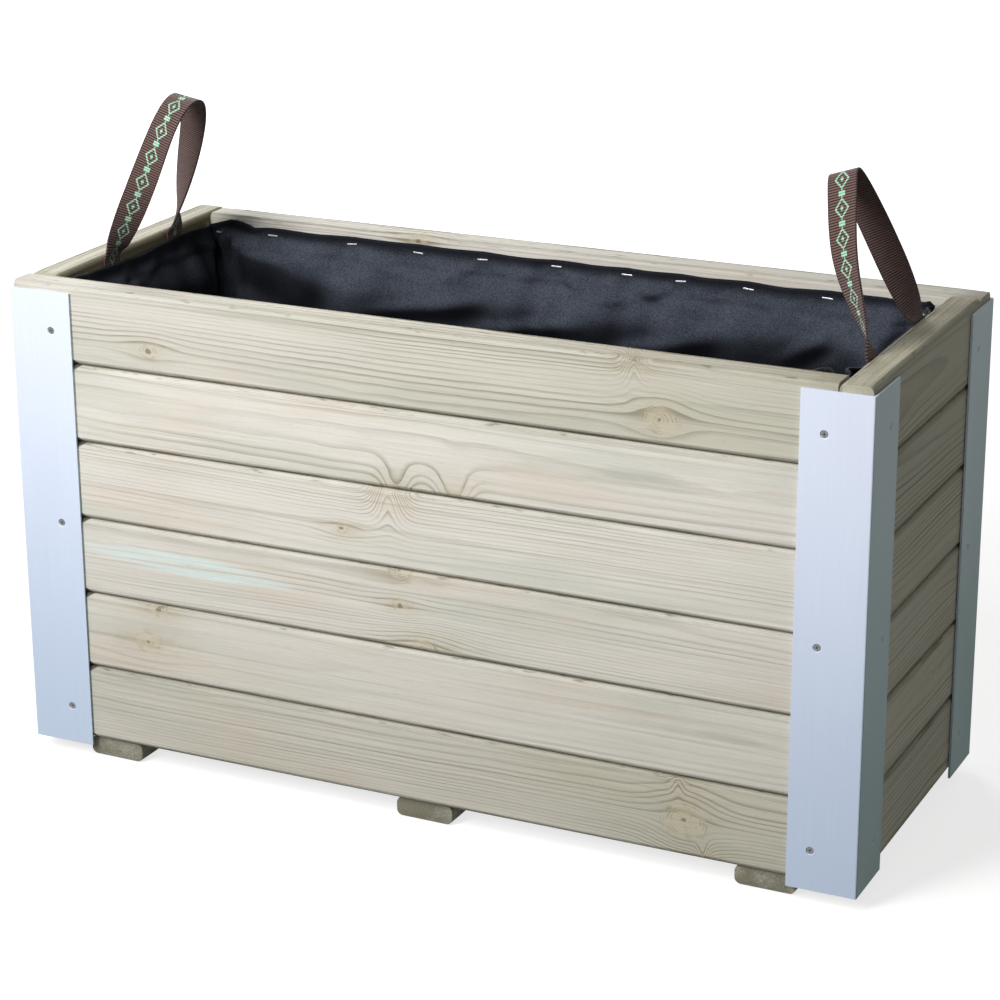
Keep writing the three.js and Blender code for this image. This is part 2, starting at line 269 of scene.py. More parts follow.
def move(piece, co):
    piece.data.vertices.foreach_set("co", np.asarray(co, np.float32).ravel())
    piece.data.update()


def note(piece, name, values):
    """Keeps a vector for each vertex, or one for all of them, as a named attribute."""
    layer = piece.data.attributes.new(name, "FLOAT_VECTOR", "POINT")
    rows = np.broadcast_to(np.asarray(values, np.float32), (len(piece.data.vertices), 3))
    layer.data.foreach_set("vector", np.ascontiguousarray(rows).ravel())


def dress(piece, material, slot, body, *nodes):
    """Gives a piece its finish, the body that it rides on and the nodes that it stands for."""
    piece.data.materials.clear()
    piece.data.materials.append(material)
    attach(piece, body)
    if nodes:
        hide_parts(*nodes)


# Finishes


# Least radius of a knot or stain, so that a board without one divides by more than nought
TINY = 0.00005


class Field:
    """A node's output, which takes part in sums as a number does."""

    def __init__(self, finish, socket):
        self.finish = finish
        self.socket = socket

    def __add__(self, other):
        return self.finish.maths("ADD", self, other)

    def __radd__(self, other):
        return self.finish.maths("ADD", other, self)

    def __sub__(self, other):
        return self.finish.maths("SUBTRACT", self, other)

    def __rsub__(self, other):
        return self.finish.maths("SUBTRACT", other, self)

    def __mul__(self, other):
        return self.finish.maths("MULTIPLY", self, other)

    def __truediv__(self, other):
        return self.finish.maths("DIVIDE", self, other)

    def __abs__(self):
        return self.finish.maths("ABSOLUTE", self)

    def __lt__(self, other):
        return self.finish.maths("LESS_THAN", self, other)

    def __gt__(self, other):
        return self.finish.maths("GREATER_THAN", self, other)


class Finish:
    """A material whose nodes are added by short calls."""

    def __init__(self, name):
        self.material = bpy.data.materials.new(name)
        self.material.use_nodes = True
        self.tree = self.material.node_tree
        self.tree.nodes.clear()

    def join(self, socket, value):
        if isinstance(value, Field):
            self.tree.links.new(value.socket, socket)
        elif socket.type == "RGBA":
            socket.default_value = (*value, 1.0)
        else:
            socket.default_value = value

    def node(self, kind, inputs=(), **settings):
        """A new node; its inputs go by number or by name."""
        made = self.tree.nodes.new("ShaderNode" + kind)
        for key, value in settings.items():
            setattr(made, key, value)
        for key, value in inputs:
            self.join(made.inputs[key], value)
        return made

    def field(self, kind, inputs=(), output=0, **settings):
        """One output of a new node."""
        return Field(self, self.node(kind, inputs, **settings).outputs[output])

    def maths(self, operation, *values):
        return self.field("Math", enumerate(values), operation=operation)

    def most(self, a, b):
        return self.maths("MAXIMUM", a, b)

    def exp(self, value):
        return self.maths("EXPONENT", value)

    def step(self, value, low, high, start=0.0, end=1.0):
        """A smooth rise from start to end while the value goes from low to high."""
        inputs = enumerate((value, low, high, start, end))
        return self.field("MapRange", inputs, interpolation_type="SMOOTHSTEP")

    def split(self, vector):
        return [Field(self, socket) for socket in self.node("SeparateXYZ", [(0, vector)]).outputs]

    def combine(self, *parts):
        return self.field("CombineXYZ", enumerate(parts))

    def attribute(self, name):
        return self.field("Attribute", output="Vector", attribute_name=name)

    def object_place(self):
        return self.field("TexCoord", output="Object")

    def uv(self):
        return self.field("TexCoord", output="UV")

    def normal(self):
        return self.field("NewGeometry", output="Normal")

    def stretch(self, vector, scale):
        return self.field("Mapping", (("Vector", vector), ("Scale", scale)))

    def noise(self, vector, stretch=None, scale=1.0, detail=2.0, rough=0.5, colour=False):
        """Noise at a place, which is first stretched if a stretch is given."""
        place = self.stretch(vector, stretch) if stretch else vector
        inputs = (("Vector", place), ("Scale", scale), ("Detail", detail), ("Roughness", rough))
        return self.field("TexNoise", inputs, "Color" if colour else "Fac")

    def mix(self, share, a, b, blend="MIX"):
        inputs = ((0, share), (6, a), (7, b))
        return self.field("Mix", inputs, 2, data_type="RGBA", blend_type=blend, clamp_factor=True)

    def toned(self, colour, tone):
        """A colour times a tone."""
        return self.mix(1.0, colour, self.combine(tone, tone, tone), "MULTIPLY")

    def bump(self, height, strength, distance):
        return self.field("Bump", (("Strength", strength), ("Distance", distance), ("Height", height)))

    def close(self, shader):
        """The material with a shader as its surface."""
        self.node("OutputMaterial", [(0, shader)])
        return self.material

    def surface(self, **sockets):
        """The material with the common shader, whose sockets are named in words."""
        inputs = []
        for key, value in sockets.items():
            inputs.append((key.replace("_", " ").title().replace("Ior", "IOR"), value))
        return self.close(self.field("BsdfPrincipled", inputs))


def knot_fields(f, along, up, ragged, broken):
    """What three knots do: bend and crowd the rings, and show a body, rings, dark parts and a halo."""
    bent, crowd, body, ring, dark, halo = up, 0.0, 0.0, 0.0, 0.0, 0.0
    for letter in "abc":
        kx, ku, kr = f.split(f.attribute("knot_" + letter))
        spike = kr < 0
        round_knot = 1.0 - spike
        kr = f.most(abs(kr), TINY)
        dx = along - kx
        du = up - ku
        spread = kr * kr
        tight = dx * f.step(kr, 0.0105, 0.014, 0.45, 0.95)
        flow = (tight * tight + du * du) / spread
        part = du * 0.88 * round_knot * f.exp(flow * -0.28)
        funnel = dx * dx * -1.1 + du * du * -0.23
        funnel = f.exp(funnel / spread)
        pull = f.maths("SIGN", ku) * (kr * spike * 2.0)
        bent = bent - part - pull * funnel
        crowd = crowd + funnel * spike
        span = f.maths("SQRT", dx * dx * 0.66 + du * du)
        span = span + ragged * 0.0065
        near = span / kr
        rings = f.step(f.maths("PINGPONG", span / 0.0026, 0.5), 0.24, 0.46)
        inside = f.step(near, 1.1, 0.74) * round_knot
        rim = f.step(near, 0.76, 0.92) * f.step(near, 1.12, 0.96) * (inside * 2.0)
        core = f.step(span, 0.0026, 0.0007) * round_knot
        root = f.step(near, 0.75, 0.15) * spike * f.step(ragged, -0.1, 0.14, 0.0, 0.75)
        deep = f.most(rim * f.step(ragged, -0.02, 0.16, 0.0, 0.4), core * 0.95)
        dark = f.most(f.most(deep, root), dark)
        body = f.most(inside, body)
        rings = rings * round_knot * (broken * f.step(near, 1.3, 0.95))
        ring = f.most(rings, ring)
        wide = f.exp(flow * -0.34) * (0.75 + ragged * 1.4)
        halo = f.most(wide, halo)
    return bent, crowd, body, ring, dark, halo


def soiled_and_shaded(f, base, place, depth, up, cast, cloud, fibre, vein):
    """A board's colour with the dirt of its seams, painted shade under its lower edge, a painted shadow
    beside the front-left angle, painted shade on the inside of boards with a cast, and the weathering of
    its top.
    """
    grime = f.step(abs(up), 0.0285, 0.035) * (0.1 + cloud * 0.35)
    base = f.mix(grime, base, (0.300, 0.290, 0.215))
    crumb = f.step(f.noise(place, (55, 300, 300), detail=2), 0.6, 0.72)
    edge = f.step(abs(up), 0.0305, 0.0335)
    base = f.mix(edge * crumb * 0.55, base, (0.105, 0.098, 0.066))
    # Each board's lower rounded edge darkens: partly soil, partly painted shade standing for the shadow in
    # the joint under it.
    soil = f.noise(place, (10, 80, 80), detail=3)
    seam_soil_and_shade = f.step(up, -0.0305, -0.0345) * f.step(soil, 0.4, 0.64, 0.12, 1.0)
    base = f.mix(seam_soil_and_shade * 0.66, base, (0.085, 0.066, 0.036))
    # Painted shadow: small dark notches on the boards' front faces at their long edges, just right of the
    # front-left angle's edge, where its flange shades the joints; kept below the top of the wall.
    facing = f.split(f.normal())
    world_x, _, world_z = f.split(f.object_place())
    past = world_x - ANGLE_EDGE_X
    corner = past + (0.035 - abs(up)) * 1.5
    corner = f.step(corner, 0.009, 0.006) * f.step(facing[1], -0.1, -0.25)
    shadow_bounds = f.step(past, -0.003, -0.001) * f.step(world_z, WALL_TOP - 0.006, WALL_TOP - 0.01)
    corner = corner * shadow_bounds
    base = f.mix(corner * 0.92, base, (0.03, 0.028, 0.022))
    # Painted shade: the inside faces of boards with a cast, such as the end walls, darken to olive brown,
    # as faces turned away from the lamps do.
    inner = f.step(depth, 0.0235, 0.027) * cast
    base = f.mix(inner * 1.35, base, (0.17, 0.145, 0.08))
    weather = f.step(facing[2], 0.6, 0.92) * cast * f.step(fibre + vein, -0.22, 0.2, 0.25, 1.15)
    base = f.mix(weather, base, (0.215, 0.183, 0.112))
    pocks = f.step(f.noise(place, (230, 520, 520), detail=2), 0.56, 0.68)
    base = f.mix(pocks * weather * 0.6, base, (0.072, 0.06, 0.036))
    return base


def timber_finish(name, pale, line, rough_sawn):
    """Softwood cut from a log: rings about a pith, knots that the rings flow round, and streaks."""
    c = colours()
    f = Finish(name)
    along, depth, up = f.split(f.attribute("grain"))
    pith_depth, pith_up, seed = f.split(f.attribute("pith"))
    value, pitch, contrast = f.split(f.attribute("tone"))
    place = f.combine(along + seed, depth, up)

    ragged = f.noise(place, (70, 120, 120), detail=2) - 0.5
    broken = f.step(f.noise(place, (120, 130, 130), detail=1), 0.47, 0.62)
    bent, crowd, knot_body, knot_ring, knot_dark, knot_halo = knot_fields(f, along, up, ragged, broken)

    sway = f.split(f.noise(place, (2.3, 6, 6), detail=1.5, colour=True))
    u = bent - pith_up + (sway[0] - 0.5) * 0.014
    t = depth - pith_depth + (sway[1] - 0.5) * 0.011
    radius = f.maths("SQRT", u * u + t * t)
    wobble = f.noise(place, (14, 60, 60), detail=2) - 0.5
    radius = radius + wobble * 0.0013
    band = f.noise(f.combine(radius * 150, seed * 3.1, 0.5), detail=1)
    ring = radius * 1000 / pitch + band * 1.3
    share = f.maths("FRACT", ring)
    late = f.step(share, 0.5, 0.94) * f.step(share, 1.0, 0.95)
    steep = f.step(abs(u) / radius, 0.08, 0.45, 0.42, 1.0)
    age = f.noise(f.combine(f.maths("FLOOR", ring) * 0.71, seed, along * 1.6), detail=0)
    fade = f.step(f.noise(place, (3.4, 26, 26), detail=2), 0.3, 0.62, 0.3, 1.0)
    late = late * contrast * (fade * f.step(age, 0.3, 0.66, 0.35, 1.0))
    end, cast, _ = f.split(f.attribute("end"))
    late = late * steep * (1.0 + (knot_halo * 1.4 + crowd * 1.1))
    late = late * (1.0 - end * 0.6)

    fibre = f.noise(place, (9, 420, 420), detail=3, rough=0.62) - 0.5
    fleck = f.step(f.noise(place, (95, 1500, 1500), detail=1), 0.64, 0.74)
    vein = f.noise(place, (1.5, 170, 170), detail=4, rough=0.62) - 0.5
    cloud = f.noise(place, (4.2, 21, 21), detail=4)
    warm = f.noise(f.stretch(f.stretch(place, (3.1, 16, 16)), (1, 1, -1)), scale=1.7, detail=4)

    base = f.mix(f.step(cloud, 0.46, 0.68, 0.0, 0.7), pale, c.timber_green)
    base = f.mix(f.step(warm, 0.5, 0.7, 0.0, 0.62), base, c.timber_warm)
    base = f.mix(cast * 0.75, base, (0.425, 0.415, 0.27))
    ink = f.mix(f.most(cast, knot_halo * 0.9), line, (0.185, 0.165, 0.1))
    base = f.mix(f.step(vein, 0.02, 0.24, 0.0, 0.42), base, ink)
    base = f.mix(late, base, ink)
    base = f.mix(knot_halo * 0.52, base, (0.47, 0.405, 0.295))
    base = f.mix(knot_body * 0.45, base, (0.57, 0.515, 0.38))
    base = f.mix(knot_ring * 0.62, base, c.knot)
    base = f.mix(knot_dark * 0.72, base, (0.115, 0.092, 0.058))

    sx, su, sl = f.split(f.attribute("stain"))
    reach = f.most(abs(sl), TINY)
    ex = (along - sx) / reach
    flat = 0.095 + (sl > 0) * 0.08
    eu = (up - (su + (along - sx) * -0.02)) / (reach * flat)
    patch = ex * ex + eu * eu + (fibre + wobble) * 1.2
    streak = f.step(f.noise(place, (5, 190, 190), detail=2), 0.36, 0.62, 0.15, 1.0)
    patch = f.step(patch, 1.25, 0.35) * streak
    base = f.mix(patch * ((sl > 0) * 0.62), base, (0.4, 0.395, 0.345))
    base = f.mix(patch * ((sl < 0) * 0.75), base, c.timber_blue)

    base = soiled_and_shaded(f, base, place, depth, up, cast, cloud, fibre, vein)
    shade = value + (fibre * (0.75 if rough_sawn else 0.3) + fleck * -0.1)
    if rough_sawn:
        pits = f.noise(place, (520, 640, 640), detail=2)
        shade = shade * f.step(pits, 0.34, 0.64, 0.66, 1.3)
    base = f.toned(base, shade)
    base = f.mix(end * 0.45, base, (0.3, 0.275, 0.2))

    saw = f.noise(place, (420, 60, 60), detail=2)
    height = fibre + late * 0.45 + saw * (1.3 if rough_sawn else 0.12) + knot_dark * -0.5
    gloss = 0.62 + (fibre + late) * 0.16
    return f.surface(
        base_color=base, roughness=gloss, specular_ior_level=0.32,
        normal=f.bump(height, 0.55 if rough_sawn else 0.32, 0.0007))


def aluminium_finish():
    """Aluminium angle, brushed along its length, with faint smears, painted shade that darkens it towards
    its foot, and a greener painted shade on its faces that turn to the right.
    """
    f = Finish("brushed_aluminium")
    place = f.object_place()
    brush = f.noise(place, (1500, 1500, 9), detail=3, rough=0.6)
    smear = f.noise(place, (22, 22, 5), detail=2)
    # Painted shade: the colour darkens from near the top of the angle down to its foot.
    shade_towards_foot = f.step(f.split(place)[2], 0.42, 0.02)
    tone = 0.9 + (brush * 0.12 + smear * 0.08)
    base = f.toned(colours().aluminium, tone)
    base = f.mix(shade_towards_foot, base, (0.74, 0.80, 0.85), "MULTIPLY")
    # Painted shade on the faces that turn to the right, tinted green as a painted reflection of the
    # surroundings, and darker again towards the foot.
    flank_shade = f.step(f.split(f.normal())[0], 0.6, 0.95)
    base = f.mix(flank_shade, base, (0.78, 0.90, 0.82), "MULTIPLY")
    base = f.mix(flank_shade * shade_towards_foot, base, (0.53, 0.64, 0.56), "MULTIPLY")
    rough = 0.36 + (brush * 0.14 + smear * 0.1)
    return f.surface(
        base_color=base, metallic=0.05, roughness=rough, specular_ior_level=0.22,
        normal=f.bump(brush, 0.08, 0.0004))


def steel_finish():
    """Dull screw steel with dark recesses and driver marks."""
    f = Finish("screw_steel")
    place = f.object_place()
    marks = f.noise(place, scale=900, detail=3)
    tone = 0.72 + marks * 0.5
    base = f.toned(colours().steel, tone)
    return f.surface(
        base_color=base, metallic=0.85, roughness=0.28 + marks * 0.25,
        normal=f.bump(marks, 0.15, 0.0002))


def wire_finish():
    """Bright flattened wire of the staples."""
    f = Finish("staple_wire")
    marks = f.noise(f.object_place(), scale=1400, detail=2)
    tone = 0.85 + marks * 0.2
    base = f.toned(colours().wire, tone)
    return f.surface(
        base_color=base, metallic=0.6, roughness=0.28 + marks * 0.15,
        normal=f.bump(marks, 0.08, 0.0002))


def felt_finish():
    """Black non-woven fabric: a fine nap, pale fibres and dust where it faces up, painted light where it
    faces forwards and to the left towards the lamps and on the back-left gathers, painted shade along the
    left wall, and a few pale specks.
    """
    c = colours()
    f = Finish("liner_felt")
    place = f.object_place()
    mottle = f.noise(place, scale=85, detail=3)
    fuzz = f.noise(place, scale=820, detail=3, rough=0.7)
    speck = f.step(f.noise(place, scale=620, detail=2), 0.72, 0.78)
    # Dust on faces that turn up, and painted light on faces that turn forwards and to the left, towards the
    # lamps; the pale fibres show only there.
    nx, ny, nz = f.split(f.normal())
    toward_lamps = nz - (ny * 0.15 + nx * 0.3)
    dust_and_painted_light = f.step(toward_lamps, -0.24, 0.82)
    px, py, pz = f.split(place)
    # Painted light on the gathers in the back-left corner.
    corner_painted_light = f.step(px, -0.312, -0.332) * f.step(py, 0.08, 0.104)
    # Painted shade: this falls to under half along the left wall.
    dust_and_painted_light = dust_and_painted_light * f.step(px, -0.358, -0.346, 0.45, 1.0)
    dust_and_painted_light = f.most(dust_and_painted_light, corner_painted_light * 0.4)
    # None of it on the top of the hem.
    dust_and_painted_light = dust_and_painted_light * f.step(pz, LINER_HIGH.z - 0.001, LINER_HIGH.z - 0.009, 0.15, 1.0)
    share = dust_and_painted_light * f.step(fuzz * 0.86 + mottle * 0.14, 0.29, 0.69, 0.22, 1.16)
    base = f.mix(share, c.felt, c.felt_light)
    base = f.mix(speck * 0.35, base, (0.11, 0.12, 0.145))
    height = fuzz + mottle * 0.4
    return f.surface(
        base_color=base, roughness=0.62 + fuzz * 0.16, specular_ior_level=0.06,
        specular_tint=(0.74, 0.84, 1.0), sheen_weight=0.01, sheen_roughness=0.5,
        sheen_tint=(0.62, 0.7, 0.9), normal=f.bump(height, 0.45, 0.0007))


# The diamonds' repeat in millimetres, and the yarns across the webbing
MOTIF_REPEAT = 24.2
MOTIF_YARNS = 31.0


def webbing_finish(name, with_motif):
    """Ribbed webbing with painted shade in the grooves between its ribs; its outer face carries a row of
    woven diamonds.
    """
    c = colours()
    f = Finish(name)
    across, along, _ = f.split(f.uv())
    rib = along / sizes().rib_pitch
    yarn = across * 44.0
    swell = f.maths("SINE", f.maths("FRACT", rib) * math.pi)
    swell = f.maths("POWER", swell, 0.7)
    twist = f.maths("SINE", f.maths("FRACT", yarn) * math.pi)
    width = sizes().webbing_width * 1000
    selvedge = f.step(abs(across - 0.5), 0.455, 0.475)
    worn = f.noise(f.combine(across * 40, along * 900, 0.0), detail=2)
    # Painted shade: the grooves between the ribs take the near-black groove colour, and only the swelling
    # ribs show the webbing's own colour.
    share = f.step(swell, 0.5, 0.97) * (0.46 + (twist * 0.25 + worn * 0.45))
    share = share * (1.0 - selvedge * 0.45)
    base = f.mix(share, c.webbing_groove_shade, c.webbing)
    if with_motif:
        u = (f.maths("FLOOR", across * MOTIF_YARNS) + 0.5) / MOTIF_YARNS
        v = (f.maths("FLOOR", rib * 2) + 0.5) * (sizes().rib_pitch / 2)
        repeat = f.maths("FRACT", v / (MOTIF_REPEAT / 1000))
        side = abs(u - 0.5) * width
        run = abs(repeat - 0.5) * MOTIF_REPEAT
        ring = side / 5.6 + run / 8.2
        outline = abs(ring - 1.0) < 0.15
        core = ring < 0.24
        dash = (side < 2.9) * (abs(run - 11.0) < 0.6)
        drawn = f.most(f.most(outline, core), dash)
        # Painted shade: the diamond threads dim in the grooves.
        thread = drawn * f.step(swell, 0.25, 0.7, 0.45, 1.0)
        base = f.mix(thread * 0.92, base, c.motif)
    height = swell + (twist * 0.22 + worn * 0.2)
    return f.surface(
        base_color=base, roughness=0.66 + worn * 0.16, specular_ior_level=0.3, sheen_weight=0.12,
        sheen_roughness=0.4, normal=f.bump(height, 0.85, 0.0008))


# Timber


def grain(piece, along, out, middle, half, log):
    """Notes where each point lies in its log, with the log's pith, tone, knots and stain."""
    side = np.cross(along, out)
    if side[2] < -0.5:
        side = -side
    local = places(piece) - np.array(middle)
    run = local @ np.array(along)
    note(piece, "grain", np.stack([run, half[1] - local @ np.array(out), local @ side], 1))
    cut = np.abs(run) > half[0] - 0.0009
    cast = np.interp(run, (-half[0], half[0]), log["cast"])
    note(piece, "end", np.stack([cut, cast, cast], 1))
    note(piece, "pith", log["pith"])
    note(piece, "tone", log["tone"])
    knots = list(log["knots"])[:3]
    for letter, knot in zip("abc", knots + [(9, 9, 0)] * (3 - len(knots))):
        note(piece, "knot_" + letter, knot)
    note(piece, "stain", log["stain"])


def drawn_log(seed, knots=None, stain=(9, 9, 0.0001), tone=None, pith=None, cast=(0.0, 0.0)):
    """The make-up of a board: drawn from its seed, apart from what is given."""
    draw = random.Random(seed)
    depth = draw.uniform(0.044, 0.080)
    height = draw.choice((-1, 1)) * draw.uniform(0.006, 0.045)
    fresh = []
    for _ in range(draw.choice((1, 1, 2, 2, 3))):
        fresh.append((draw.uniform(-0.30, 0.30), draw.uniform(-0.028, 0.028), draw.uniform(0.005, 0.0105)))
    start = draw.uniform(1.0, 40.0)
    look = (draw.uniform(0.92, 1.02), draw.uniform(2.7, 3.7), draw.uniform(0.42, 0.85))
    return {
        "pith": (*(pith or (depth, height)), start),
        "tone": tone or look,
        "knots": fresh if knots is None else knots,
        "stain": stain,
        "cast": cast,
    }


FRONT_LOGS = {
    6: drawn_log(11, knots=[(-0.240, -0.015, 0.0070), (0.228, -0.0135, 0.0125), (0.206, 0.031, -0.0088)],
                 tone=(0.985, 2.7, 0.86), pith=(0.046, -0.034), cast=(0.0, 0.50)),
    5: drawn_log(12, knots=[(-0.005, -0.037, -0.0135), (0.048, -0.037, -0.0155)],
                 tone=(1.085, 3.1, 0.82), pith=(0.050, 0.006), stain=(0.2115, 0.008, 0.045)),
    4: drawn_log(13, knots=[(-0.013, 0.0385, -0.0150), (-0.057, -0.0064, 0.0055)],
                 tone=(1.095, 2.5, 0.66), pith=(0.042, -0.038)),
    3: drawn_log(14, knots=[(-0.004, 0.003, 0.0060), (-0.005, 0.035, 0.0090), (0.020, -0.034, 0.0110)],
                 tone=(1.04, 2.5, 0.70), pith=(0.040, 0.030), stain=(-0.215, 0.007, -0.115)),
    2: drawn_log(15, knots=[(-0.254, -0.002, 0.0105), (-0.241, 0.031, 0.0080)],
                 tone=(1.015, 3.2, 0.46), pith=(0.058, 0.010), stain=(0.294, 0.007, 0.030),
                 cast=(0.10, 0.05)),
    1: drawn_log(16, knots=[(0.255, -0.0025, 0.0165), (0.272, -0.0345, -0.0064), (0.249, 0.034, -0.0060)],
                 tone=(0.940, 2.4, 0.90), pith=(0.044, 0.036), cast=(0.10, 0.45)),
}
BACK_TOP_LOG = drawn_log(36, knots=[(-0.154, 0.030, 0.0075), (0.120, -0.010, 0.0050)])


END_EASE = 0.0008
SAME = 1e-5


def model_board(name, low, high, along, radius, cuts):
    """A planed board: long edges rounded, ends eased, cut into lengths for its slight wear."""
    board = block(name, low, high)
    run = Vector(along)
    pick(board, "EDGE", lambda edge: abs(direction(edge).dot(run)) > 0.9)
    bevel(radius, 6)
    middle = (low + high).dot(run) / 2
    reach = (high - low).dot(run) / 2
    pick(board, "EDGE", lambda edge: all(abs(v.co.dot(run) - middle) > reach - SAME for v in edge.verts))
    bevel(END_EASE, 2)
    pick(board, "EDGE", lambda edge: abs(direction(edge).dot(run)) > 0.9 and edge.calc_length() > reach)
    bpy.ops.mesh.subdivide(number_cuts=cuts)
    leave()
    return board


def wear(board, depth):
    """Lets the faces wander inwards by a hair, as planed timber does."""
    texture = bpy.data.textures.get("timber_wear") or bpy.data.textures.new("timber_wear", "CLOUDS")
    texture.noise_scale = 0.045
    texture.noise_depth = 1
    apply_modifier(
        board, "DISPLACE", texture=texture, texture_coords="GLOBAL", strength=depth, mid_level=1.0)
    smooth(board, 40)


def lay_boards(nodes, logs, along, out, edge, cuts, worn, finish, slot):
    """Boards of one size: a pattern, and a copy of it at each node's place with its own log."""
    low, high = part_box(nodes[0])
    pattern = model_board("board_pattern", low, high, along, edge, cuts)
    for node, log in zip(nodes, logs):
        bottom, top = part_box(node)
        board = copy_of(pattern, "made_" + node, shift=bottom - low)
        wear(board, worn)
        half = [abs((top - bottom).dot(Vector(way))) / 2 for way in (along, out)]
        grain(board, along, out, (bottom + top) / 2, half, log)
        dress(board, finish, slot, "box", node)
    bpy.data.objects.remove(pattern)


def wall_log(wall, course):
    """The log of a wall board: as photographed on the front, drawn on the other walls."""
    if wall == "front":
        return FRONT_LOGS[course]
    if wall == "back" and course == COURSES:
        return BACK_TOP_LOG
    log = drawn_log(100 * WALLS.index(wall) + course)
    if wall != "back":
        log["cast"] = (0.60, 0.75)
        log["tone"] = (log["tone"][0] * 1.06, log["tone"][1] * 0.85, 1.05)
    return log


class PLANTER_OT_wall_boards(bpy.types.Operator):
    """Model the four walls of six boards each"""

    bl_idname = "planter.wall_boards"
    bl_label = "Wall boards"

    def execute(self, context):
        c = colours()
        s = sizes()
        timber = timber_finish("wall_timber", c.timber, c.timber_line, False)
        ways = {"front": (0, -1, 0), "right": (1, 0, 0), "back": (0, 1, 0), "left": (-1, 0, 0)}
        courses = range(1, COURSES + 1)
        for wall, out in ways.items():
            along = (1, 0, 0) if out[0] == 0 else (0, 1, 0)
            nodes = [f"{wall}_board_{course}" for course in courses]
            logs = [wall_log(wall, course) for course in courses]
            lay_boards(nodes, logs, along, out, s.board_edge, 28, s.wear_depth, timber, "timber")
        return {"FINISHED"}


class PLANTER_OT_bearers(bpy.types.Operator):
    """Model the cross bearers and the floor boards that lie on them"""

    bl_idname = "planter.bearers"
    bl_label = "Bearers and floor boards"

    def execute(self, context):
        c = colours()
        s = sizes()
        rough = timber_finish("rough_timber", c.bearer, c.bearer_line, True)
        groups = (
            ("bearer", 3, (0, 1, 0), (0, 0, -1), s.bearer_edge, 12),
            ("floor_board", 2, (1, 0, 0), (0, 0, 1), s.floor_edge, 24),
        )
        for name, count, along, out, edge, cuts in groups:
            nodes = [f"{name}_{number + 1}" for number in range(count)]
            logs = []
            for number in range(count):
                logs.append(drawn_log(500 + 10 * cuts + number, tone=(0.96 + 0.05 * number, 3.0, 0.75)))
            lay_boards(nodes, logs, along, out, edge, cuts, s.rough_depth, rough, "bearer_timber")
        return {"FINISHED"}


# Metal


def screw_places():
    """Each screw's node, the middle of its head and the way that it faces."""
    found = []
    for corner in CORNERS:
        for flange in ("near", "far"):
            for number in (1, 2, 3):
                node = f"{corner}_screw_{flange}_{number}"
                low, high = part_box(node)
                middle = (low + high) / 2
                way = Vector((0, 0, 0))
                axis = 0 if high.x - low.x > high.y - low.y else 1
                way[axis] = math.copysign(1, middle[axis])
                middle[axis] = high[axis] if way[axis] > 0 else low[axis]
                found.append((node, middle, way))
    return found


ANGLE_FILLET = 0.0008
HOLE_RADIUS = 0.0016
SINK_RADIUS = 0.0037
SINK_DEPTH = 0.0032
SINK_PLACE = 0.0012


def model_angle():
    """One corner angle at the front right, with countersunk holes for its screws."""
    low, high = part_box("front_right_angle")
    wall = sizes().angle_thickness
    start, stop = Vector((high.x - wall, low.y, low.z)), Vector((high.x, low.y + wall, high.z))
    angle = block("angle_pattern", start, stop)
    pick(angle, "FACE", lambda face: face.normal.x < -0.9)
    extrude(low.x - high.x + wall, 0, 0)
    corner = high.x - 1.5 * wall
    pick(angle, "FACE", lambda face: face.normal.y > 0.9 and face.calc_center_median().x > corner)
    extrude(0, high.y - low.y - wall, 0)

    def outer(edge):
        return all(v.co.x > high.x - SAME and v.co.y < low.y + SAME for v in edge.verts)

    def inner(edge):
        return all(
            abs(v.co.x - high.x + wall) < SAME and abs(v.co.y - low.y - wall) < SAME for v in edge.verts)

    pick(angle, "EDGE", lambda edge: outer(edge) and abs(direction(edge).z) > 0.9)
    bevel(sizes().angle_corner, 5)
    pick(angle, "EDGE", lambda edge: inner(edge) and abs(direction(edge).z) > 0.9)
    bevel(ANGLE_FILLET, 3)
    leave()
    cutters = []
    for node, middle, way in screw_places():
        if node.startswith("front_right"):
            deselect()
            bpy.ops.mesh.primitive_cone_add(
                vertices=32, radius1=HOLE_RADIUS, radius2=SINK_RADIUS, depth=SINK_DEPTH)
            cutter = bpy.context.object
            cutter.rotation_mode = "QUATERNION"
            cutter.rotation_quaternion = way.to_track_quat("Z", "Y")
            cutter.location = middle - way * SINK_PLACE
            settle(cutter)
            cutters.append(cutter)
    deselect()
    for cutter in cutters:
        cutter.select_set(True)
    bpy.context.view_layer.objects.active = cutters[0]
    bpy.ops.object.join()
    apply_modifier(angle, "BOOLEAN", object=cutters[0], operation="DIFFERENCE", solver="EXACT")
    bpy.data.objects.remove(cutters[0])
    soften(angle, 0.00022, 2, 50)
    smooth(angle, 32)
    apply_modifier(angle, "WEIGHTED_NORMAL", keep_sharp=True, weight=100)
    return angle


class PLANTER_OT_corner_angles(bpy.types.Operator):
    """Model the four brushed corner angles"""

    bl_idname = "planter.corner_angles"
    bl_label = "Corner angles"

    def execute(self, context):
        finish = aluminium_finish()
        pattern = model_angle()
        low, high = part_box("front_right_angle")
        corner = Vector((high.x, low.y, 0))
        turns = {"front_right": 0, "back_right": 1, "back_left": 2, "front_left": 3}
        for name, quarter in turns.items():
            node = name + "_angle"
            bottom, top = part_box(node)
            x = top.x if "right" in name else bottom.x
            y = bottom.y if "front" in name else top.y
            place = Vector((x, y, 0))
            turn = Euler((0, 0, quarter * math.pi / 2))
            turned = corner.copy()
            turned.rotate(turn)
            angle = copy_of(pattern, "made_" + node, shift=place - turned, turn=turn)
            dress(angle, finish, "corner_metal", "box", node)
        bpy.data.objects.remove(pattern)
        return {"FINISHED"}


HEAD_RADIUS = 0.0031
HEAD_RIM = 0.0003
HEAD_SUNK = 0.00045
SHANK_RADIUS = 0.0018
RECESS_HALF = (0.0019, 0.00034)
RECESS_DEPTH = 0.0011


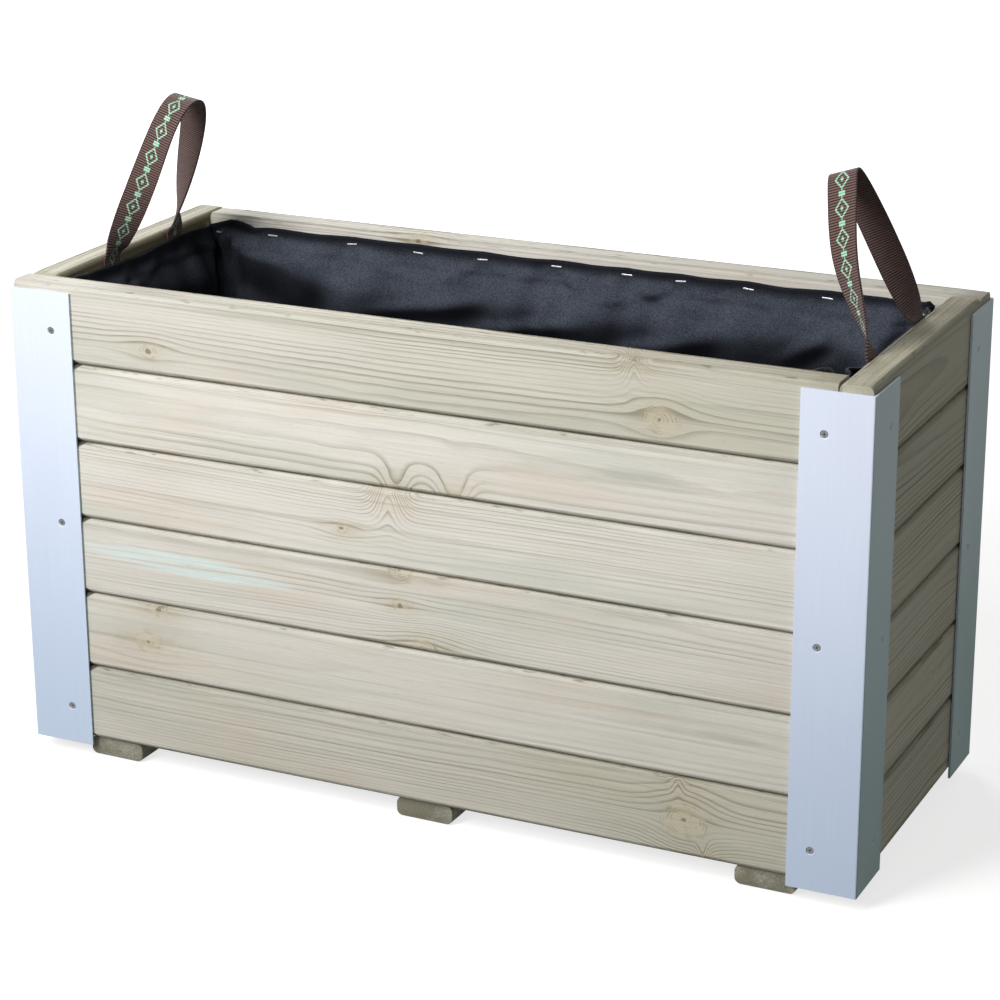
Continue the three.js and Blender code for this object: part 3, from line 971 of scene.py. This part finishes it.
def model_screw():
    """A countersunk screw that points down from the origin, with a cross recess in its head."""
    deselect()
    bpy.ops.mesh.primitive_cylinder_add(
        vertices=32, radius=HEAD_RADIUS, depth=HEAD_RIM, location=(0, 0, -HEAD_RIM / 2))
    screw = bpy.context.object
    screw.name = "screw_pattern"
    settle(screw)
    for drop, shrink in ((0.0017, SHANK_RADIUS / HEAD_RADIUS), (0.0140, 1.0), (0.0045, 0.12)):
        pick(screw, "FACE", lambda face: face.normal.z < -0.9 and face.calc_area() > 1e-9)
        floor = min(v.co.z for v in bmesh.from_edit_mesh(screw.data).verts)
        extrude(0, 0, -drop)
        bpy.ops.transform.resize(value=(shrink, shrink, 1), center_override=(0, 0, floor - drop))
    leave()
    arms = []
    for turn in (0, 1):
        reach = Vector((*RECESS_HALF, 0))
        arm = block("recess", Vector((0, 0, -RECESS_DEPTH)) - reach, Vector((0, 0, 0.0006)) + reach)
        pick(arm, "FACE", lambda face: face.normal.z < -0.9)
        bpy.ops.transform.resize(value=(0.45, 0.6, 1), center_override=(0, 0, -RECESS_DEPTH))
        leave()
        arm.rotation_euler = (0, 0, turn * math.pi / 2 + 0.0003)
        settle(arm)
        arms.append(arm)
    for arm in arms:
        apply_modifier(screw, "BOOLEAN", object=arm, operation="DIFFERENCE", solver="EXACT")
        bpy.data.objects.remove(arm)
    soften(screw, 0.00012, 1, 60)
    smooth(screw, 35)
    return screw


class PLANTER_OT_screws(bpy.types.Operator):
    """Model the countersunk screws in the angles"""

    bl_idname = "planter.screws"
    bl_label = "Screws"

    def execute(self, context):
        finish = steel_finish()
        pattern = model_screw()
        draw = random.Random(7)
        for node, middle, way in screw_places():
            spin = Matrix.Rotation(draw.uniform(0, math.pi), 3, "Z")
            turn = (way.to_track_quat("Z", "Y").to_matrix() @ spin).to_euler()
            screw = copy_of(pattern, "made_" + node, shift=middle - way * HEAD_SUNK, turn=turn)
            dress(screw, finish, "screw_metal", "box", node)
        bpy.data.objects.remove(pattern)
        return {"FINISHED"}


# Liner


LINER_PLAY = 0.0006
LINER_LIFT = 0.0008
HEM_DEPTH = 0.020
BACK_STAPLES = (-0.345, -0.289, -0.205, -0.137, -0.072, 0.001, 0.069, 0.120, 0.183, 0.255, 0.335)
FRONT_STAPLES = (-0.338, -0.262, -0.190, -0.121, -0.050, 0.022, 0.095, 0.170, 0.240, 0.338)
END_STAPLES = (-0.108, -0.078, -0.022, 0.026, 0.080, 0.110)


def staple_places():
    """Each staple's wall and its place along it."""
    found = [("back", a) for a in BACK_STAPLES]
    found += [("front", a) for a in FRONT_STAPLES]
    found += [("left", a) for a in END_STAPLES]
    found += [("right", -a) for a in END_STAPLES]
    return found


def ease(value, low, high):
    share = np.clip((value - low) / (high - low), 0, 1)
    return share * share * (3 - 2 * share)


def ripple(co, scale, seed):
    """Smooth noise at each row of coordinates."""
    shift = Vector((seed * 3.7, seed * 1.3, seed * 2.1))
    return np.array([noise.noise(Vector(p) * scale + shift) for p in co])


def fold(along, drop, start, end, width):
    """A soft ridge along a line on a wall, fading to both ends."""
    a0, d0 = start
    a1, d1 = end
    way = np.array([a1 - a0, d1 - d0])
    run = np.linalg.norm(way)
    way = way / run
    t = ((along - a0) * way[0] + (drop - d0) * way[1]) / run
    away = (along - a0) * way[1] - (drop - d0) * way[0]
    return np.exp(-(away / width) ** 2) * ease(t, -0.15, 0.2) * (1 - ease(t, 0.55, 1.1))


def bag_shape(co, half_x, half_y, low, high):
    """Rounds the bag's corners and draws its walls in by swags, gathers and folds."""
    rounding = 0.016
    inner = np.stack([
        np.clip(co[:, 0], -half_x + rounding, half_x - rounding),
        np.clip(co[:, 1], -half_y + rounding, half_y - rounding),
        np.maximum(co[:, 2], low + rounding)], 1)
    away = co - inner
    reach = np.linalg.norm(away, axis=1)
    normal = away / np.maximum(reach, 1e-9)[:, None]
    shaped = inner + normal * np.minimum(reach, rounding)[:, None]
    flat_wall = (reach < 1e-9) & (co[:, 2] > low + 1e-6)
    shaped[flat_wall] = co[flat_wall]

    drop = high - co[:, 2]
    x, y = co[:, 0], co[:, 1]
    on_back = np.abs(y - half_y) < 1e-6
    on_front = np.abs(y + half_y) < 1e-6
    on_left = np.abs(x + half_x) < 1e-6
    on_right = np.abs(x - half_x) < 1e-6
    wall = on_back | on_front | on_left | on_right
    depth = np.zeros(len(co))

    slow = ripple(co, 5.0, 2)
    crest = 0.046 + 0.016 * ripple(co, 4.0, 5)
    corner = np.minimum(half_x - np.abs(x), half_y - np.abs(y))
    edge = np.where(on_left | on_right, half_y - np.abs(y), half_x - np.abs(x))
    hang = (drop / crest) * np.exp(1 - drop / crest) * ease(edge, 0.0, 0.055)
    depth += wall * 0.0050 * (1 + 0.5 * slow) * hang
    depth += wall * 0.0016 * (1 + ripple(co, 34.0, 9)) * ease(drop, 0.01, 0.08)

    inward = -normal
    inward[:, 2] *= 0.25
    shaped += inward * depth[:, None]
    shaped[:, 2] -= 0.0030 * np.exp(-((y + 0.010) / 0.060) ** 2) * on_left * (1 - ease(drop, 0.0, 0.05))
    floor = (~wall) & (co[:, 2] < low + 1e-6)
    shaped[:, 2] += floor * 0.0012 * (1 + ripple(co, 22.0, 4)) * ease(corner, 0.0, 0.03)
    return shaped


def wall_rows(co, wall, half_x, half_y):
    """Which rows lie on a wall, and how far along it they are."""
    end = wall in ENDS
    out = co[:, 0] / half_x if end else co[:, 1] / half_y
    gap_x = half_x - np.abs(co[:, 0])
    gap_y = half_y - np.abs(co[:, 1])
    nearest = gap_x < gap_y if end else gap_y <= gap_x
    sign = 1 if wall in ("back", "right") else -1
    return nearest & (out * sign > 0), co[:, 1] if end else co[:, 0]


def swag(drop, crest, height):
    """A bulge below the hem: flat at the staples, a slope down to its crest and a return to the wall."""
    rise = ease(drop, min(0.008, 0.4 * np.min(crest)), crest)
    back = 1 - 0.75 * ease(drop, crest, crest * 2.3)
    return height * rise * back


def garlands(along, drop, spots, draw):
    """Ridges that hang between the staples, and whiskers that run from each of them."""
    depth = np.zeros(len(along))
    for a, b in zip(spots, spots[1:]):
        t = np.clip((along - a) / (b - a), 0, 1)
        hang = np.sin(math.pi * t)
        line = 0.0085 + draw.uniform(0.007, 0.013) * hang
        ridge = np.exp(-((drop - line) / 0.0048) ** 2)
        inside = (along > a) & (along < b)
        depth += inside * draw.uniform(0.0006, 0.0013) * np.maximum(hang, 0) * ridge
    for a in spots:
        reach = draw.uniform(0.06, 0.11) * draw.choice((1, 1, -1))
        t = (along - a) / reach
        line = 0.010 + 0.022 * (1 - np.exp(-2.4 * np.clip(t, 0, 1)))
        ridge = np.exp(-((drop - line) / 0.0050) ** 2)
        depth += draw.uniform(0.0010, 0.0022) * ridge * ease(t, 0.02, 0.16) * (1 - ease(t, 0.45, 1.0))
    return depth


# Ridges of the hung liner: height, start and end as places along the wall and below the hem, and width
END_FOLDS = (
    (0.0090, (0.106, -0.010), (0.097, 0.130), 0.0055),
    (0.0080, (-0.104, -0.010), (-0.094, 0.110), 0.0055),
)
FOLDS = {
    "back": (
        (0.0130, (-0.349, -0.014), (-0.346, 0.150), 0.0034),
        (0.0050, (-0.308, -0.006), (-0.294, 0.022), 0.0040),
        (0.0120, (0.347, -0.010), (0.330, 0.130), 0.0060),
        (0.0060, (0.318, 0.012), (0.286, 0.110), 0.0065),
        (0.0032, (0.262, 0.036), (0.214, 0.066), 0.0046),
        (-0.0018, (0.270, 0.046), (0.230, 0.074), 0.0046),
        (0.0046, (0.160, 0.050), (0.030, 0.084), 0.0085),
        (0.0050, (0.030, 0.052), (-0.110, 0.078), 0.0065),
        (0.0042, (-0.070, 0.044), (-0.200, 0.066), 0.0060),
    ),
    "front": (
        (0.0100, (-0.344, -0.010), (-0.332, 0.110), 0.0055),
        (0.0110, (0.338, -0.010), (0.322, 0.120), 0.0055),
    ),
    "left": END_FOLDS,
    "right": END_FOLDS,
}
# Peaks of the hem: height, place along the wall and width
END_PEAKS = ((0.0032, -0.104, 0.012),)
PEAKS = {
    "back": ((0.0062, -0.328, 0.013), (0.0060, 0.352, 0.009)),
    "front": ((0.0040, 0.335, 0.012),),
    "left": END_PEAKS,
    "right": END_PEAKS,
}


def hem_forms(co, half_x, half_y, high):
    """How far the liner stands in from its walls after it has settled, and how far its hem rises."""
    drop = high - co[:, 2]
    depth = np.zeros(len(co))
    lift = np.zeros(len(co))
    draw = random.Random(21)
    slow = ripple(co, 6.0, 2)
    for wall in WALLS:
        on, along = wall_rows(co, wall, half_x, half_y)
        spots = sorted(a for w, a in staple_places() if w == wall)
        half = half_y if wall in ENDS else half_x
        edge = half - np.abs(along)
        part = garlands(along, drop, spots, draw) * ease(edge, 0.004, 0.020)
        if wall == "back":
            crest = 0.025 + 0.024 * ease(along, -0.332, -0.195) + 0.003 * slow
            ends = ease(along, -0.3315, -0.3255) * ease(half - along, 0.016, 0.060)
            part += swag(drop, crest, 0.36 * crest + 0.003 * slow) * ends
            part += 0.0135 * np.exp(-((along + 0.3375) / 0.0040) ** 2) * swag(drop, 0.016, 1.0)
        elif wall == "front":
            part += swag(drop, 0.046 + 0.006 * slow, 0.014 + 0.006 * slow) * ease(edge, 0.012, 0.060)
        else:
            part += swag(drop, 0.044 + 0.006 * slow, 0.012 + 0.004 * slow) * ease(edge, 0.012, 0.050)
        for height, start, end, width in FOLDS[wall]:
            part += height * fold(along, drop, start, end, width)
        for height, place, width in PEAKS[wall]:
            lift += on * height * np.exp(-((along - place) / width) ** 2)
        sag = np.zeros(len(co))
        for a, b in zip(spots, spots[1:]):
            t = np.clip((along - a) / (b - a), 0, 1)
            sag = np.maximum(sag, np.sin(math.pi * t) * draw.uniform(0.0002, 0.0011))
        lift -= on * sag
        depth += on * part
    return depth, lift * (1 - ease(drop, 0.004, 0.040))


def sew_bag(half_x, half_y, low, high):
    """An open bag: a grid for its floor, and walls drawn up from the grid's edge row by row."""
    deselect()
    across, deep = 86, 40
    bpy.ops.mesh.primitive_grid_add(
        x_subdivisions=across, y_subdivisions=deep, size=1, location=(0, 0, low))
    bag = bpy.context.object
    call(bag, "made_liner")
    settle(bag)

    def spread(share, half, near):
        """Columns closer together towards the corners."""
        bend = 0.5 * (share * 2 + near * np.sin(2 * math.pi * (share + 0.5)) / math.pi)
        return 2 * half * bend

    co = places(bag)
    co[:, 0] = spread(co[:, 0], half_x, 0.55)
    co[:, 1] = spread(co[:, 1], half_y, 0.30)
    move(bag, co)
    rows = [0.020] * 13
    left = high - low - sum(rows)
    rows += [0.009] * int((left - 0.030) / 0.009)
    left = high - low - sum(rows)
    rows += [left / 7] * 7
    pick(bag, "EDGE", lambda edge: edge.is_boundary)
    for rise in rows:
        extrude(0, 0, rise)
    bpy.ops.mesh.select_all(action="SELECT")
    bpy.ops.mesh.normals_make_consistent(inside=False)
    leave()
    floor = min(bag.data.polygons, key=lambda face: face.center.length)
    if floor.normal.z > 0:
        flip(bag)
    return bag


CLOTH_FRAMES = 26
CLOTH_FEEL = {
    "quality": 6, "mass": 0.15, "tension_stiffness": 14, "compression_stiffness": 14,
    "shear_stiffness": 5, "bending_model": "ANGULAR", "bending_stiffness": 4.0, "air_damping": 4,
    "vertex_group_mass": "staples", "pin_stiffness": 1,
}
CLOTH_TOUCH = {
    "use_collision": True, "distance_min": 0.001, "collision_quality": 2,
    "use_self_collision": True, "self_distance_min": 0.0015,
}


def hang_bag(bag, half_x, half_y, low, high):
    """Lets the bag settle as cloth between the walls, held by its staples."""
    deselect()
    bpy.ops.mesh.primitive_cube_add(size=1, location=(0, 0, (low + high) / 2 + 0.05))
    room = bpy.context.object
    room.scale = (2 * half_x + 0.002, 2 * half_y + 0.002, high - low + 0.102)
    settle(room)
    pick(room, "FACE", lambda face: face.normal.z > 0.9)
    bpy.ops.mesh.delete(type="ONLY_FACE")
    flip(room)
    bpy.ops.object.modifier_add(type="COLLISION")
    room.collision.thickness_outer = 0.001
    room.collision.cloth_friction = 8
    room.collision.use_culling = True

    held = bag.vertex_groups.new(name="staples")
    for vertex in bag.data.vertices:
        if vertex.co.z > high - 0.0105:
            for wall, along in staple_places():
                end = wall in ENDS
                run = vertex.co.y if end else vertex.co.x
                out = vertex.co.x if end else vertex.co.y
                sign = 1 if wall in ("back", "right") else -1
                if abs(run - along) < 0.006 and out * sign > (half_x if end else half_y) - 0.012:
                    held.add([vertex.index], 1.0, "REPLACE")
    focus(bag)
    bpy.ops.object.modifier_add(type="CLOTH")
    cloth = bag.modifiers[-1]
    for key, value in CLOTH_FEEL.items():
        setattr(cloth.settings, key, value)
    cloth.settings.shrink_min = -sizes().liner_slack
    cloth.settings.effector_weights.gravity = 0.35
    for key, value in CLOTH_TOUCH.items():
        setattr(cloth.collision_settings, key, value)
    scene = bpy.context.scene
    cloth.point_cache.frame_start = 1
    cloth.point_cache.frame_end = CLOTH_FRAMES
    for number in range(1, CLOTH_FRAMES + 1):
        scene.frame_set(number)
    focus(bag)
    bpy.ops.object.modifier_apply(modifier=cloth.name)
    scene.frame_set(1)
    bpy.data.objects.remove(room)


class PLANTER_OT_liner(bpy.types.Operator):
    """Sew the liner, hang it inside the walls and give it its hem"""

    bl_idname = "planter.liner"
    bl_label = "Liner"

    def execute(self, context):
        half_x = LINER_HIGH.x - LINER_PLAY
        half_y = LINER_HIGH.y - LINER_PLAY
        low = LINER_LOW.z + LINER_LIFT
        high = LINER_HIGH.z
        bag = sew_bag(half_x, half_y, low, high)
        move(bag, bag_shape(places(bag), half_x, half_y, low, high))
        hang_bag(bag, half_x, half_y, low, high)
        apply_modifier(bag, "SUBSURF", levels=1, render_levels=1)
        co = places(bag)
        calm = 0.75 * (1 - ease(high - co[:, 2], 0.004, 0.032))
        for wall in WALLS:
            on, along = wall_rows(co, wall, half_x, half_y)
            axis, half, run = (0, half_x, half_y) if wall in ENDS else (1, half_y, half_x)
            share = on * calm * ease(run - np.abs(along), 0.028, 0.060)
            co[:, axis] += share * (np.sign(co[:, axis]) * half - co[:, axis])
        depth, lift = hem_forms(co, half_x, half_y, high)
        end_wall = half_x - np.abs(co[:, 0]) < half_y - np.abs(co[:, 1])
        co[end_wall, 0] -= np.sign(co[end_wall, 0]) * depth[end_wall]
        co[~end_wall, 1] -= np.sign(co[~end_wall, 1]) * depth[~end_wall]
        co[:, 2] += lift
        co[:, 0] = np.clip(co[:, 0], -half_x, half_x)
        co[:, 1] = np.clip(co[:, 1], -half_y, half_y)
        co[:, 2] = np.maximum(co[:, 2], low)
        move(bag, co)
        hem = bag.vertex_groups.new(name="hem")
        doubled = ease(co[:, 2], high - HEM_DEPTH - 0.001, high - HEM_DEPTH + 0.001)
        for index, share in enumerate(doubled):
            hem.add([index], float(share), "REPLACE")
        apply_modifier(
            bag, "SOLIDIFY", thickness=sizes().liner_thickness, offset=-1, use_even_offset=False,
            vertex_group="hem", thickness_vertex_group=0.5, use_rim=True)
        focus(bag)
        bpy.ops.object.shade_smooth()
        dress(bag, felt_finish(), "liner_fabric", "box", "liner")
        bag.vertex_groups.clear()
        return {"FINISHED"}


def model_staple():
    """A flattened wire staple, crown along X and legs towards +Y, at the origin."""
    half = sizes().staple_width / 2
    staple = block("staple_pattern", Vector((-half, -0.0005, -0.0006)), Vector((half, 0.0, 0.0006)))
    for side in (-1, 1):
        pick(staple, "FACE", lambda face: face.normal.x * side > 0.9)
        extrude(side * 0.0006, 0, 0)
        pick(staple, "FACE", lambda face: face.normal.y > 0.9 and face.calc_center_median().x * side > half)
        extrude(0, 0.0030, 0)
    leave()
    soften(staple, 0.00022, 2, 40)
    smooth(staple, 40)
    return staple


class PLANTER_OT_staples(bpy.types.Operator):
    """Drive the staples that hold the liner's hem"""

    bl_idname = "planter.staples"
    bl_label = "Staples"

    def execute(self, context):
        finish = wire_finish()
        pattern = model_staple()
        bag = bpy.data.objects["made_liner"]
        draw = random.Random(3)
        quarters = {"back": 0, "left": 1, "front": 2, "right": 3}
        shown = [place for place in staple_places() if place[0] != "left"]
        for number, (wall, along) in enumerate(shown):
            height = LINER_HIGH.z - sizes().staple_drop + draw.uniform(-0.001, 0.001)
            turn = Euler((0, draw.uniform(-0.10, 0.10), quarters[wall] * math.pi / 2), "XYZ")
            way = Vector((0, 1, 0))
            way.rotate(turn)
            inside = Vector((0, along, height)) if wall in ENDS else Vector((along, 0, height))
            hit, place, _, _ = bag.ray_cast(inside, way)
            if not hit:
                raise RuntimeError(f"no liner behind staple {number}")
            staple = copy_of(pattern, f"staple_{number + 1}", shift=place - way * 0.0001, turn=turn)
            dress(staple, finish, "screw_metal", "box")
        bpy.data.objects.remove(pattern)
        return {"FINISHED"}


# Handles


HANDLES = {
    "left_handle": {
        "side": 1, "spread": 0.106, "offset": 0.0085, "rise": 0.1475,
        "crown": 0.040, "roll": 10, "bow": 0.002},
    "right_handle": {
        "side": -1, "spread": 0.120, "offset": -0.0125, "rise": 0.1415,
        "crown": 0.019, "roll": 1.5, "bow": 0.007},
}
LEG_DRAW = 0.016
LEG_SHOULDER = 0.045
LEG_TWIST = 0.8
FOOT_LEVEL = 0.016
LOOP_LEAN = math.radians(20)


def leg_curve(form):
    """A leg from its foot to the crown: evenly spaced places and tangents in Y and Z."""
    foot, rise = form["spread"] / 2, form["rise"]
    p = np.array([(-foot, 0), (LEG_DRAW - foot, LEG_SHOULDER), (-form["crown"], rise), (0, rise)])
    t = np.linspace(0, 1, 801)[:, None]
    spots = (1 - t) ** 3 * p[0] + 3 * (1 - t) ** 2 * t * p[1] + 3 * (1 - t) * t ** 2 * p[2] + t ** 3 * p[3]
    run = np.concatenate([[0], np.cumsum(np.linalg.norm(np.diff(spots, axis=0), axis=1))])
    steps = 64
    wanted = np.linspace(0, run[-1], steps + 1)
    even = np.stack([np.interp(wanted, run, spots[:, k]) for k in (0, 1)], 1)
    slope = np.gradient(even, axis=0)
    slope[0] = (p[1] - p[0]) / np.linalg.norm(p[1] - p[0])
    slope[-1] = (1, 0)
    return even, slope / np.linalg.norm(slope, axis=1)[:, None]


def strap_route(form):
    """Middles and across directions of one strap, from tail to tail, in the frame's axes."""
    even, slope = leg_curve(form)
    steps = len(even) - 1
    middles, acrosses = [], []
    lean = np.array([[math.cos(LOOP_LEAN), 0, math.sin(LOOP_LEAN)], [0, 1, 0],
                     [-math.sin(LOOP_LEAN), 0, math.cos(LOOP_LEAN)]])
    for i in range(2 * steps + 1):
        far = i > steps
        k = 2 * steps - i if far else i
        share = k / steps
        spot, way = even[k], slope[k]
        bulge = 0 if far else form["bow"] * math.sin(math.pi * share) ** 2
        middle = np.array([bulge, -spot[0] if far else spot[0], spot[1]])
        along = np.array([0, way[0], -way[1] if far else way[1]])
        level = float(ease(np.array(spot[1]), 0, FOOT_LEVEL))
        turned = level * math.sin(share * math.pi / 2) ** LEG_TWIST
        turn = math.radians(90 - (90 + form["roll"]) * turned)
        across = np.array([math.cos(turn), math.sin(turn) * along[2], -math.sin(turn) * along[1] * level])
        middles.append(lean @ middle)
        acrosses.append(lean @ (across / np.linalg.norm(across)))
    tail_steps = 14
    foot = form["spread"] / 2
    tail = sizes().webbing_tail
    first = [np.array([0, -foot, -tail * (1 - k / tail_steps)]) for k in range(tail_steps)]
    last = [np.array([0, foot, -tail * (k + 1) / tail_steps]) for k in range(tail_steps)]
    middles = first + middles + last
    acrosses = [acrosses[0]] * tail_steps + acrosses + [acrosses[-1]] * tail_steps
    middles, acrosses = np.array(middles), np.array(acrosses)
    side = form["side"]
    middles[:, 0] *= side
    acrosses[:, 0] *= side
    middles += np.array([-side * HINGE_X, form["offset"], HINGE_Z])
    return middles, acrosses


class PLANTER_OT_handles(bpy.types.Operator):
    """Weave the two webbing handles"""

    bl_idname = "planter.handles"
    bl_label = "Webbing handles"

    def execute(self, context):
        outer = webbing_finish("webbing_with_motif", True)
        plain = webbing_finish("webbing_plain", False)
        columns = 8
        for node, form in HANDLES.items():
            middles, acrosses = strap_route(form)
            count = len(middles)
            deselect()
            bpy.ops.mesh.primitive_grid_add(x_subdivisions=columns, y_subdivisions=count - 1, size=1)
            strap = bpy.context.object
            call(strap, "made_" + node)
            settle(strap)
            flat = places(strap)
            row = np.rint((flat[:, 1] + 0.5) * (count - 1)).astype(int)
            reach = flat[:, 0] * sizes().webbing_width
            move(strap, middles[row] + acrosses[row] * reach[:, None])
            run = np.concatenate([[0], np.cumsum(np.linalg.norm(np.diff(middles, axis=0), axis=1))])
            layer = strap.data.uv_layers.active
            for loop in strap.data.loops:
                spot = loop.vertex_index
                layer.data[loop.index].uv = (flat[spot, 0] + 0.5, run[row[spot]])
            if form["side"] < 0:
                flip(strap)
            strap.data.materials.append(outer)
            strap.data.materials.append(plain)
            apply_modifier(
                strap, "SOLIDIFY", thickness=sizes().webbing_thickness, offset=0,
                use_even_offset=False, material_offset=1, material_offset_rim=1)
            smooth(strap, 40)
            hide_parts(node)
            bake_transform(strap)
        return {"FINISHED"}


# Stage


def camera_rays(tree):
    """1 for what the camera sees, straight or in a gloss or through glass."""
    path = tree.nodes.new("ShaderNodeLightPath")
    found = path.outputs["Is Camera Ray"]
    for name in ("Is Glossy Ray", "Is Transmission Ray"):
        either = tree.nodes.new("ShaderNodeMath")
        either.operation = "MAXIMUM"
        tree.links.new(found, either.inputs[0])
        tree.links.new(path.outputs[name], either.inputs[1])
        found = either.outputs[0]
    return found


def floor_finish():
    """White from above, with the object's shadow, a plain pale floor to the light, and clear from below."""
    f = Finish("studio_floor")
    x, y, _ = f.split(f.object_place())
    fade = f.step(f.maths("SQRT", x * x + y * y), 0.6, 3.0, 0.74, 1.0)
    lit = f.field("BsdfDiffuse", [("Color", (0.42, 0.42, 0.42))])
    glow = f.field("Emission", (("Color", (1, 1, 1)), ("Strength", fade)))
    shown = f.field("AddShader", enumerate((lit, glow)))
    plain = f.field("BsdfDiffuse", [("Color", (0.24, 0.24, 0.23))])
    above = f.field("MixShader", enumerate((Field(f, camera_rays(f.tree)), plain, shown)))
    behind = f.field("NewGeometry", output="Backfacing")
    return f.close(f.field("MixShader", enumerate((behind, above, f.field("BsdfTransparent")))))


def lamp(name, place, target, size, watts, tint):
    deselect()
    bpy.ops.object.light_add(type="AREA", location=place)
    light = bpy.context.object
    light.name = name
    light.data.shape = "SQUARE"
    light.data.size = size
    light.data.energy = watts
    light.data.color = tint
    way = Vector(target) - Vector(place)
    light.rotation_euler = way.to_track_quat("-Z", "Y").to_euler()


# Each lamp's name, place, target, size, power and tint
LAMPS = (
    ("key_light", (-0.90, -2.40, 1.70), (0, 0, 0.28), 0.9, 46, (1.0, 0.99, 0.98)),
    ("top_light", (-0.30, -0.98, 1.36), (0, 0, 0.35), 0.6, 14, (0.99, 0.99, 1.0)),
    ("back_light", (-1.80, 2.60, 1.70), (0, 0, 0.25), 1.4, 55, (1.0, 0.99, 0.97)),
)
AMBIENT = 0.145
VIEW_ANGLES = (25.48, 19.13, -0.27)
VIEW_PLACE = (3.302 * 0.7806, 0.001 * 0.7806, 0.281 * 0.7806)
VIEW_BASE = 0.0115
VIEW_FOCUS = 2.860


def set_world(scene):
    """White to the camera, and a faint light to everything else."""
    world = bpy.data.worlds.new("studio")
    scene.world = world
    world.use_nodes = True
    tree = world.node_tree
    seen = tree.nodes["Background"]
    seen.inputs["Color"].default_value = (1, 1, 1, 1)
    seen.inputs["Strength"].default_value = 1.0
    light = tree.nodes.new("ShaderNodeBackground")
    light.inputs["Color"].default_value = (0.96, 1.0, 0.90, 1)
    light.inputs["Strength"].default_value = AMBIENT
    choose = tree.nodes.new("ShaderNodeMixShader")
    tree.links.new(camera_rays(tree), choose.inputs[0])
    tree.links.new(light.outputs[0], choose.inputs[1])
    tree.links.new(seen.outputs[0], choose.inputs[2])
    tree.links.new(choose.outputs[0], tree.nodes["World Output"].inputs[0])


def set_camera(scene):
    """The camera that was fitted to the photo."""
    azimuth, elevation, roll = (math.radians(a) for a in VIEW_ANGLES)
    back = Vector((
        math.sin(azimuth) * math.cos(elevation),
        -math.cos(azimuth) * math.cos(elevation),
        math.sin(elevation)))
    right = Vector((0, 0, 1)).cross(back).normalized()
    up = back.cross(right)
    right, up = (
        right * math.cos(roll) + up * math.sin(roll),
        up * math.cos(roll) - right * math.sin(roll))
    deselect()
    bpy.ops.object.camera_add()
    camera = bpy.context.object
    camera.name = "photo_camera"
    turn = Matrix((right, up, back)).transposed()
    away, across, above = VIEW_PLACE
    place = back * away + right * across + up * above + Vector((0, 0, VIEW_BASE))
    camera.matrix_world = Matrix.Translation(place) @ turn.to_4x4()
    camera.data.sensor_width = 36
    camera.data.lens = 36 * VIEW_FOCUS
    scene.camera = camera


class PLANTER_OT_stage(bpy.types.Operator):
    """Set the floor, the soft light and the camera"""

    bl_idname = "planter.stage"
    bl_label = "Stage"

    def execute(self, context):
        scene = bpy.context.scene
        scene.view_settings.view_transform = "Standard"
        deselect()
        bpy.ops.mesh.primitive_plane_add(size=40, location=(0, 0, -0.0004))
        floor = bpy.context.object
        floor.name = "studio_floor"
        settle(floor)
        floor.data.materials.append(floor_finish())
        set_world(scene)
        for settings in LAMPS:
            lamp(*settings)
        set_camera(scene)
        return {"FINISHED"}


# Add-on


class PLANTER_PT_sidebar(bpy.types.Panel):
    """Lists the planter's pieces in the sidebar"""

    bl_label = "Wooden planter"
    bl_idname = "PLANTER_PT_sidebar"
    bl_space_type = "VIEW_3D"
    bl_region_type = "UI"
    bl_category = "Planter"

    def draw(self, context):
        for operator in OPERATORS:
            self.layout.operator(operator.bl_idname)
        for group in (context.scene.planter_sizes, context.scene.planter_colours):
            column = self.layout.column()
            for key in group.bl_rna.properties.keys():
                if key not in ("rna_type", "name"):
                    column.prop(group, key)


OPERATORS = (
    PLANTER_OT_stage,
    PLANTER_OT_wall_boards,
    PLANTER_OT_bearers,
    PLANTER_OT_corner_angles,
    PLANTER_OT_screws,
    PLANTER_OT_liner,
    PLANTER_OT_staples,
    PLANTER_OT_handles,
)
CLASSES = (PlanterSizes, PlanterColours, *OPERATORS, PLANTER_PT_sidebar)


def register():
    for item in CLASSES:
        bpy.utils.register_class(item)
    bpy.types.Scene.planter_sizes = bpy.props.PointerProperty(type=PlanterSizes)
    bpy.types.Scene.planter_colours = bpy.props.PointerProperty(type=PlanterColours)


def unregister():
    del bpy.types.Scene.planter_colours
    del bpy.types.Scene.planter_sizes
    for item in reversed(CLASSES):
        bpy.utils.unregister_class(item)


def main():
    register()
    for operator in OPERATORS:
        getattr(bpy.ops.planter, operator.bl_idname.split(".")[1])()
    deselect()


if __name__ == "__main__":
    main()
